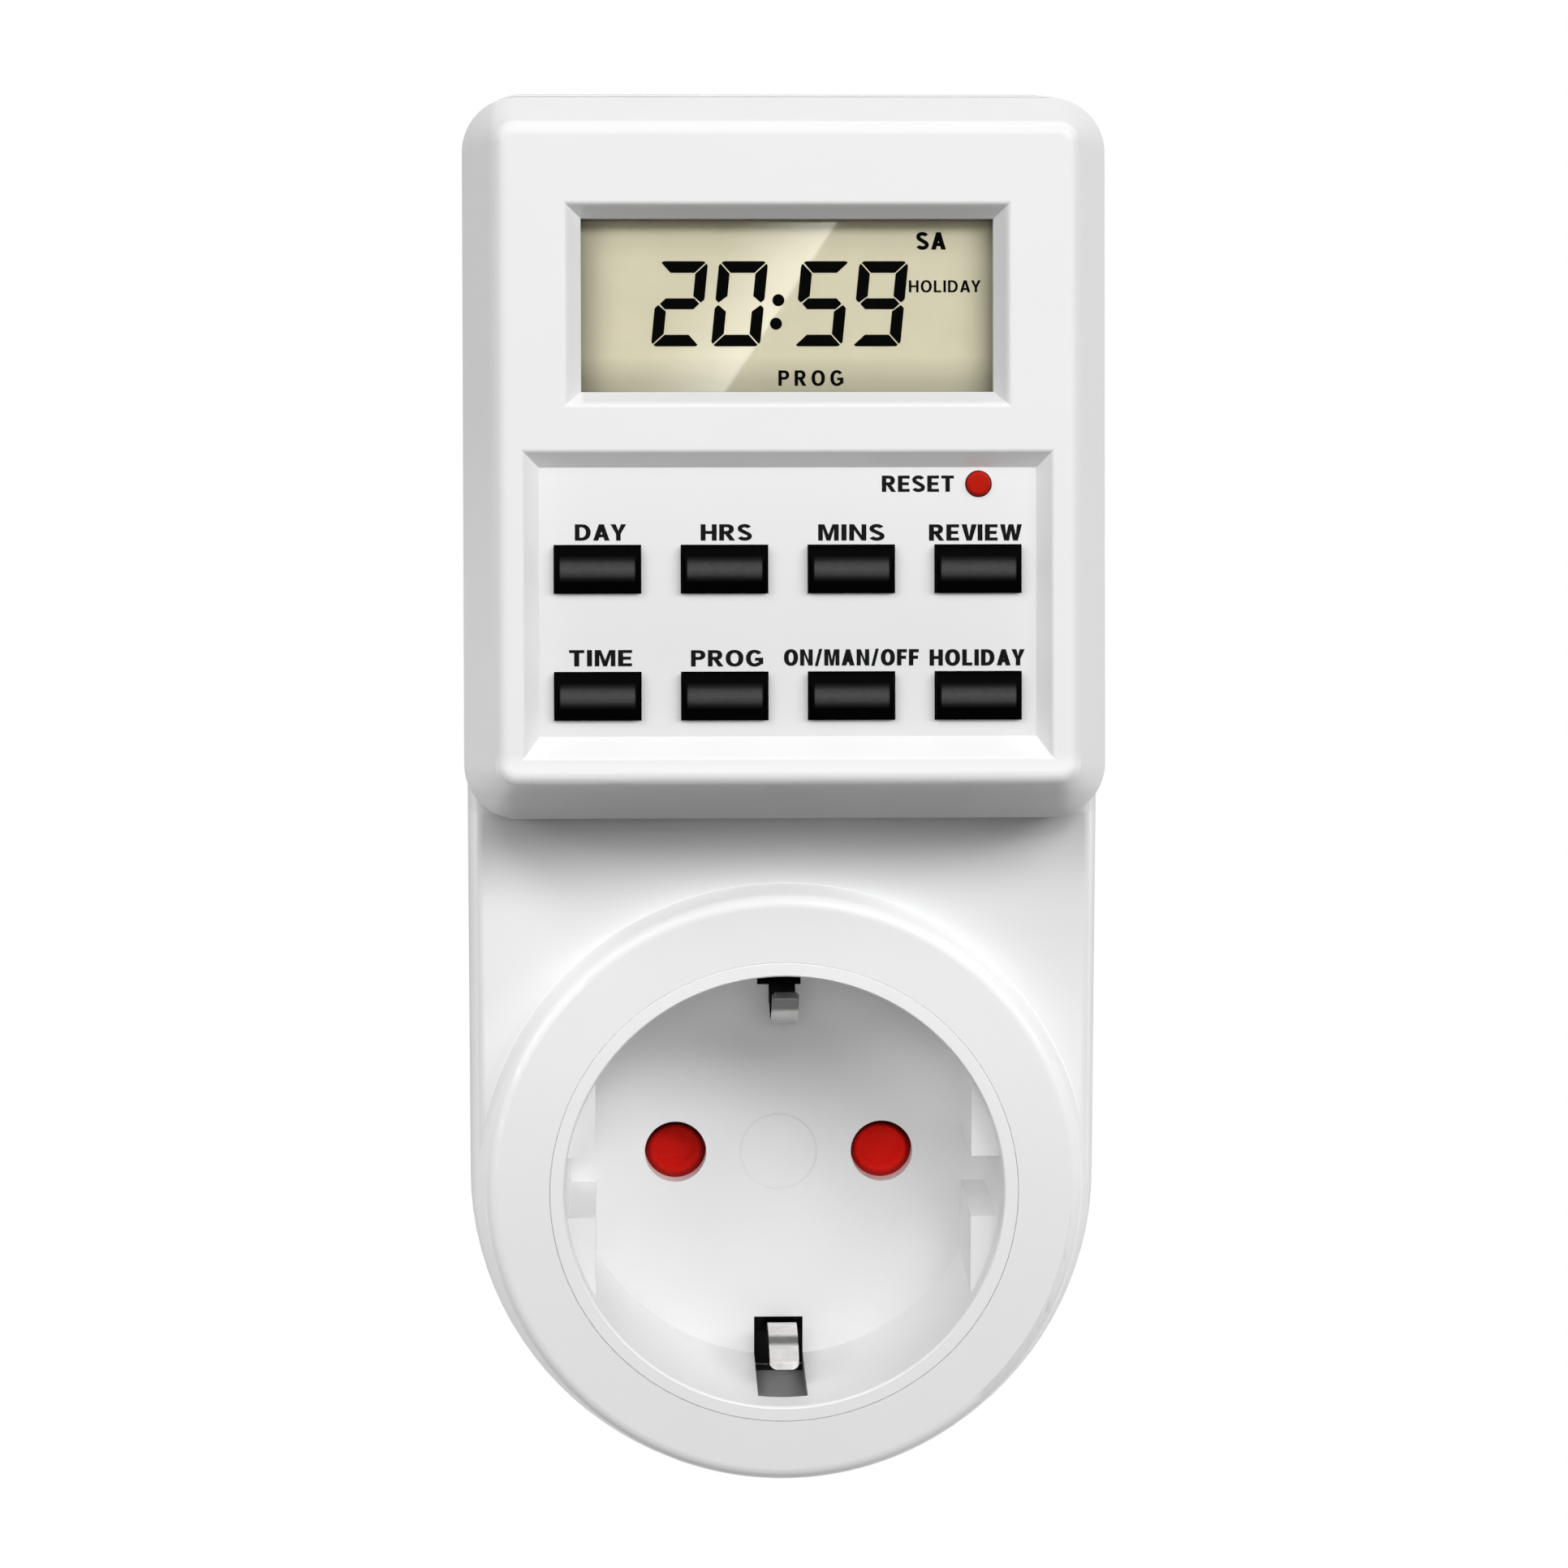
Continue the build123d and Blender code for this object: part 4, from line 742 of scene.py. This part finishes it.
DH, DW, DT, DG = 7.32, 4.22, 1.0, 0.075
SEG = {
    "a": [(0.46, DH), (0.30, DH - 0.04), (0.15 + DG, DH - 0.15), (DT + DG, DH - DT), (DW - DT - DG, DH - DT), (DW - 0.15 - DG, DH - 0.15),
          (DW - 0.30, DH - 0.04), (DW - 0.46, DH)],
    "g": [(0.42, DH / 2), (0.88, DH / 2 - 0.47), (DW - 0.88, DH / 2 - 0.47), (DW - 0.42, DH / 2),
          (DW - 0.88, DH / 2 + 0.47), (0.88, DH / 2 + 0.47)],
    "f": [(0.0, DH / 2 + 0.42), (0.10, DH / 2 + 0.26), (0.30, DH / 2 + 0.11), (DT, DH / 2 + 0.66), (DT, DH - DT - DG), (0.15, DH - 0.15 - DG),
          (0.04, DH - 0.30), (0.0, DH - 0.46)],
}
SEG["d"] = [(x, DH - y) for x, y in reversed(SEG["a"])]
SEG["b"] = [(DW - x, y) for x, y in reversed(SEG["f"])]
SEG["e"] = [(x, DH - y) for x, y in reversed(SEG["f"])]
SEG["c"] = [(DW - x, DH - y) for x, y in SEG["f"]]
SHOWN = {"2": "abged", "0": "abcdef", "5": "afgcd", "9": "abcdfg"}


def digit(ch, x0, y0):
    out = []
    for s in SHOWN[ch]:
        out.append([(x0 + x + 0.10 * (y - DH / 2), y0 + y) for x, y in SEG[s]])
    return out


polys = digit("2", -11.33, 37.56) + digit("0", -6.16, 37.56) + digit("5", 0.93, 37.56) + digit("9", 5.93, 37.56)
for cu, cv in ((-0.71, 41.53), (-0.92, 39.51)):
    polys.append([(cu + 0.52 * math.cos(k * math.pi / 12), cv + 0.52 * math.sin(k * math.pi / 12)) for k in range(24)])
add_piece("lcd_digits", prism_mesh("lcd_digits", polys, -3.225, -3.205), M["segment"])
add_piece("lcd_day", text_mesh("lcd_day", "SA", 12.47, 46.63, 1.50, 2.55, 0.23, 0.19, 0.12, -3.225, 0.02), M["segment"])
add_piece("lcd_mode", text_mesh("lcd_mode", "HOLIDAY", 13.65, 42.72, 1.03, 6.2, 0.185, 0.155, 0.17, -3.225, 0.02), M["segment"])
add_piece("lcd_state", text_mesh("lcd_state", "PROG", 2.08, 34.83, 1.33, 5.6, 0.21, 0.17, 0.34, -3.225, 0.02), M["segment"])

# ------------------------------------------------------------------ printed legends
LEGENDS = [
    ("legend_day", "DAY", -16.07, 21.52, 4.4, 0.220, 0.185),
    ("legend_hours", "HRS", -5.28, 21.51, 4.4, 0.225, 0.185),
    ("legend_minutes", "MINS", 5.46, 21.49, 5.7, 0.225, 0.185),
    ("legend_review", "REVIEW", 16.14, 21.47, 8.0, 0.235, 0.190),
    ("legend_time", "TIME", -16.1, 10.74, 5.4, 0.220, 0.185),
    ("legend_program", "PROG", -5.24, 10.71, 6.2, 0.220, 0.185),
    ("legend_switch", "ON/MAN/OFF", 5.44, 10.76, 11.6, 0.265, 0.200),
    ("legend_holiday", "HOLIDAY", 16.27, 10.73, 8.2, 0.250, 0.195),
    ("legend_reset", "RESET", 11.19, 25.66, 6.2, 0.230, 0.185),
]
for name, text, u, v, width, stem, bar in LEGENDS:
    add_piece(name, text_mesh(name, text, u, v, 1.40, width, stem, bar, 0.12, -1.40, 0.02), M["ink"])

# ------------------------------------------------------------------ stage
def stage_surface(name, rings, seg=96):
    """surface of revolution about Z, from (radius, height) rings, seen by the camera only"""
    verts, faces = [], []
    for r, z in rings:
        for k in range(seg):
            a = 2 * math.pi * k / seg
            verts.append((r * math.cos(a), r * math.sin(a), z))
    for i in range(len(rings) - 1):
        for k in range(seg):
            n = (k + 1) % seg
            faces.append((i * seg + k, i * seg + n, (i + 1) * seg + n, (i + 1) * seg + k))
    me = bpy.data.meshes.new(name)
    me.from_pydata(verts, [], faces)
    me.update()
    o = bpy.data.objects.new(name, me)
    scene.collection.objects.link(o)
    m = bpy.data.materials.new(name)
    m.use_nodes = True
    nt = m.node_tree
    for n in list(nt.nodes):
        nt.nodes.remove(n)
    out = nt.nodes.new("ShaderNodeOutputMaterial")
    em = nt.nodes.new("ShaderNodeEmission")
    em.inputs["Color"].default_value = (1, 1, 1, 1)
    em.inputs["Strength"].default_value = 1.0
    nt.links.new(em.outputs[0], out.inputs[0])
    m.cycles.emission_sampling = "NONE"
    me.materials.append(m)
    o.visible_diffuse = False
    o.visible_glossy = False
    o.visible_transmission = False
    o.visible_shadow = False
    return o


stage_surface("floor", [(0.0005, -0.45), (1.0, -0.45), (3.0, -0.45), (4.0, -0.40), (4.7, -0.15), (5.0, 0.4), (5.0, 3.0), (3.5, 4.6), (0.001, 5.2)])

# ------------------------------------------------------------------ light
world = bpy.data.worlds.new("studio")
scene.world = world
world.use_nodes = True
nt = world.node_tree
for n in list(nt.nodes):
    nt.nodes.remove(n)
wout = nt.nodes.new("ShaderNodeOutputWorld")
bg = nt.nodes.new("ShaderNodeBackground")
tc = nt.nodes.new("ShaderNodeTexCoord")


def world_math(op, a, b):
    n = nt.nodes.new("ShaderNodeMath")
    n.operation = op
    for i, x in enumerate((a, b)):
        if isinstance(x, (int, float)):
            n.inputs[i].default_value = x
        else:
            nt.links.new(x, n.inputs[i])
    return n.outputs[0]


sep = nt.nodes.new("ShaderNodeSeparateXYZ")
nt.links.new(tc.outputs["Generated"], sep.inputs[0])
# bright white paper behind and under the object, a dim room in front
back_side = world_math("MAXIMUM", sep.outputs["Y"], 0.0)
grazing = world_math("SUBTRACT", 1.0, world_math("MULTIPLY", back_side, back_side))
under = world_math("MAXIMUM", world_math("MULTIPLY", sep.outputs["Z"], -1.0), 0.0)
level = world_math("MULTIPLY", back_side, grazing)
level = world_math("MULTIPLY", level, world_math("ADD", world_math("MULTIPLY", under, 2.0), 2.95))
level = world_math("ADD", level, 0.01)
nt.links.new(level, bg.inputs["Strength"])
bg.inputs["Color"].default_value = (1, 1, 1, 1)
nt.links.new(bg.outputs[0], wout.inputs[0])


def softbox(name, azimuth, elevation, dist, size_x, size_y, watts, aim=(0, -0.03, 0.02)):
    """rectangular light; azimuth 0 is in front of the object, positive to its right"""
    d = bpy.data.lights.new(name, "AREA")
    d.shape = "RECTANGLE"
    d.size, d.size_y = size_x, size_y
    d.energy = watts
    o = bpy.data.objects.new(name, d)
    scene.collection.objects.link(o)
    a, e = math.radians(azimuth), math.radians(elevation)
    way = Vector((math.sin(a) * math.cos(e), -math.cos(a) * math.cos(e), math.sin(e)))
    o.location = Vector(aim) + way * dist
    o.rotation_mode = "QUATERNION"
    o.rotation_quaternion = way.to_track_quat("Z", "Y")
    o.visible_camera = False
    return o


softbox("key", 22.0, 35.0, 1.6, 0.70, 0.45, 9.1)
softbox("right", 50.0, 25.0, 1.6, 0.70, 0.45, 8.4)
softbox("fill", -25.0, 30.0, 1.6, 0.70, 0.45, 2.2)
softbox("left_high", -35.0, 50.0, 1.6, 0.70, 0.45, 6.1)
softbox("left", -50.0, 20.0, 1.6, 0.70, 0.45, 4.4)
softbox("front", 0.0, 8.0, 1.6, 0.80, 0.50, 4.3).visible_glossy = False

# ------------------------------------------------------------------ camera
az, el, roll = math.radians(-1.81), math.radians(8.32), math.radians(0.08)
F_PX, DIST, IMG = 6242.0, 450.0, 1932.0
tx, ty = 966.6, 1470.9
back = Vector((math.sin(az) * math.cos(el), -math.cos(az) * math.cos(el), math.sin(el)))
right = Vector((math.cos(az), math.sin(az), 0))
up = back.cross(right)
R0 = right * math.cos(roll) + up * math.sin(roll)
U0 = -right * math.sin(roll) + up * math.cos(roll)
cx_ = (tx - IMG / 2) / F_PX * DIST
cy_ = -(ty - IMG / 2) / F_PX * DIST
eye = (Vector((0, -27.0, 0)) - R0 * cx_ - U0 * cy_ + back * DIST) * MM
cam_data = bpy.data.cameras.new("camera")
cam_data.sensor_fit = "HORIZONTAL"
cam_data.sensor_width = 36.0
cam_data.lens = F_PX / IMG * 36.0
cam_data.clip_start = 0.01
cam_data.clip_end = 50.0
cam = bpy.data.objects.new("camera", cam_data)
scene.collection.objects.link(cam)
cam.matrix_world = Matrix((
    (R0.x, U0.x, back.x, eye.x),
    (R0.y, U0.y, back.y, eye.y),
    (R0.z, U0.z, back.z, eye.z),
    (0, 0, 0, 1)))
scene.camera = cam

# ------------------------------------------------------------------ glare on the display
def mirrored(u, v, reach):
    """point that the camera sees mirrored at (u, v) of the display's polariser"""
    p = fp(u, v, -3.225)
    d = (p - eye).normalized()
    r = d - 2.0 * d.dot(N_OUT) * N_OUT
    return p + r * reach


EDGE_TOP, EDGE_LOW, GLARE_W = (4.80, 48.90), (-5.75, 33.00), 9.0
verts, faces, fade = [], [], []
STEPS = 12
for i in range(STEPS + 1):
    t = i / STEPS
    for eu, ev in (EDGE_TOP, EDGE_LOW):
        verts.append(mirrored(eu - GLARE_W * t, ev, 0.30))
        fade.append((1.0 - t) ** 1.4)
for i in range(STEPS):
    faces.append((2 * i, 2 * i + 1, 2 * i + 3, 2 * i + 2))
me = bpy.data.meshes.new("glare_card")
me.from_pydata(verts, [], faces)
att = me.attributes.new("fade", "FLOAT", "POINT")
att.data.foreach_set("value", fade)
me.update()
card = bpy.data.objects.new("glare_card", me)
scene.collection.objects.link(card)
cm = bpy.data.materials.new("glare_card")
cm.use_nodes = True
nt = cm.node_tree
for n in list(nt.nodes):
    nt.nodes.remove(n)
out = nt.nodes.new("ShaderNodeOutputMaterial")
em = nt.nodes.new("ShaderNodeEmission")
at = nt.nodes.new("ShaderNodeAttribute")
at.attribute_name = "fade"
nt.links.new(math_node(nt, "MULTIPLY", at.outputs["Fac"], 7.0), em.inputs["Strength"])
em.inputs["Color"].default_value = (1.0, 1.0, 0.97, 1)
nt.links.new(em.outputs[0], out.inputs[0])
cm.cycles.emission_sampling = "NONE"
me.materials.append(cm)
card.visible_camera = False
card.visible_diffuse = False
card.visible_transmission = False
card.visible_shadow = False
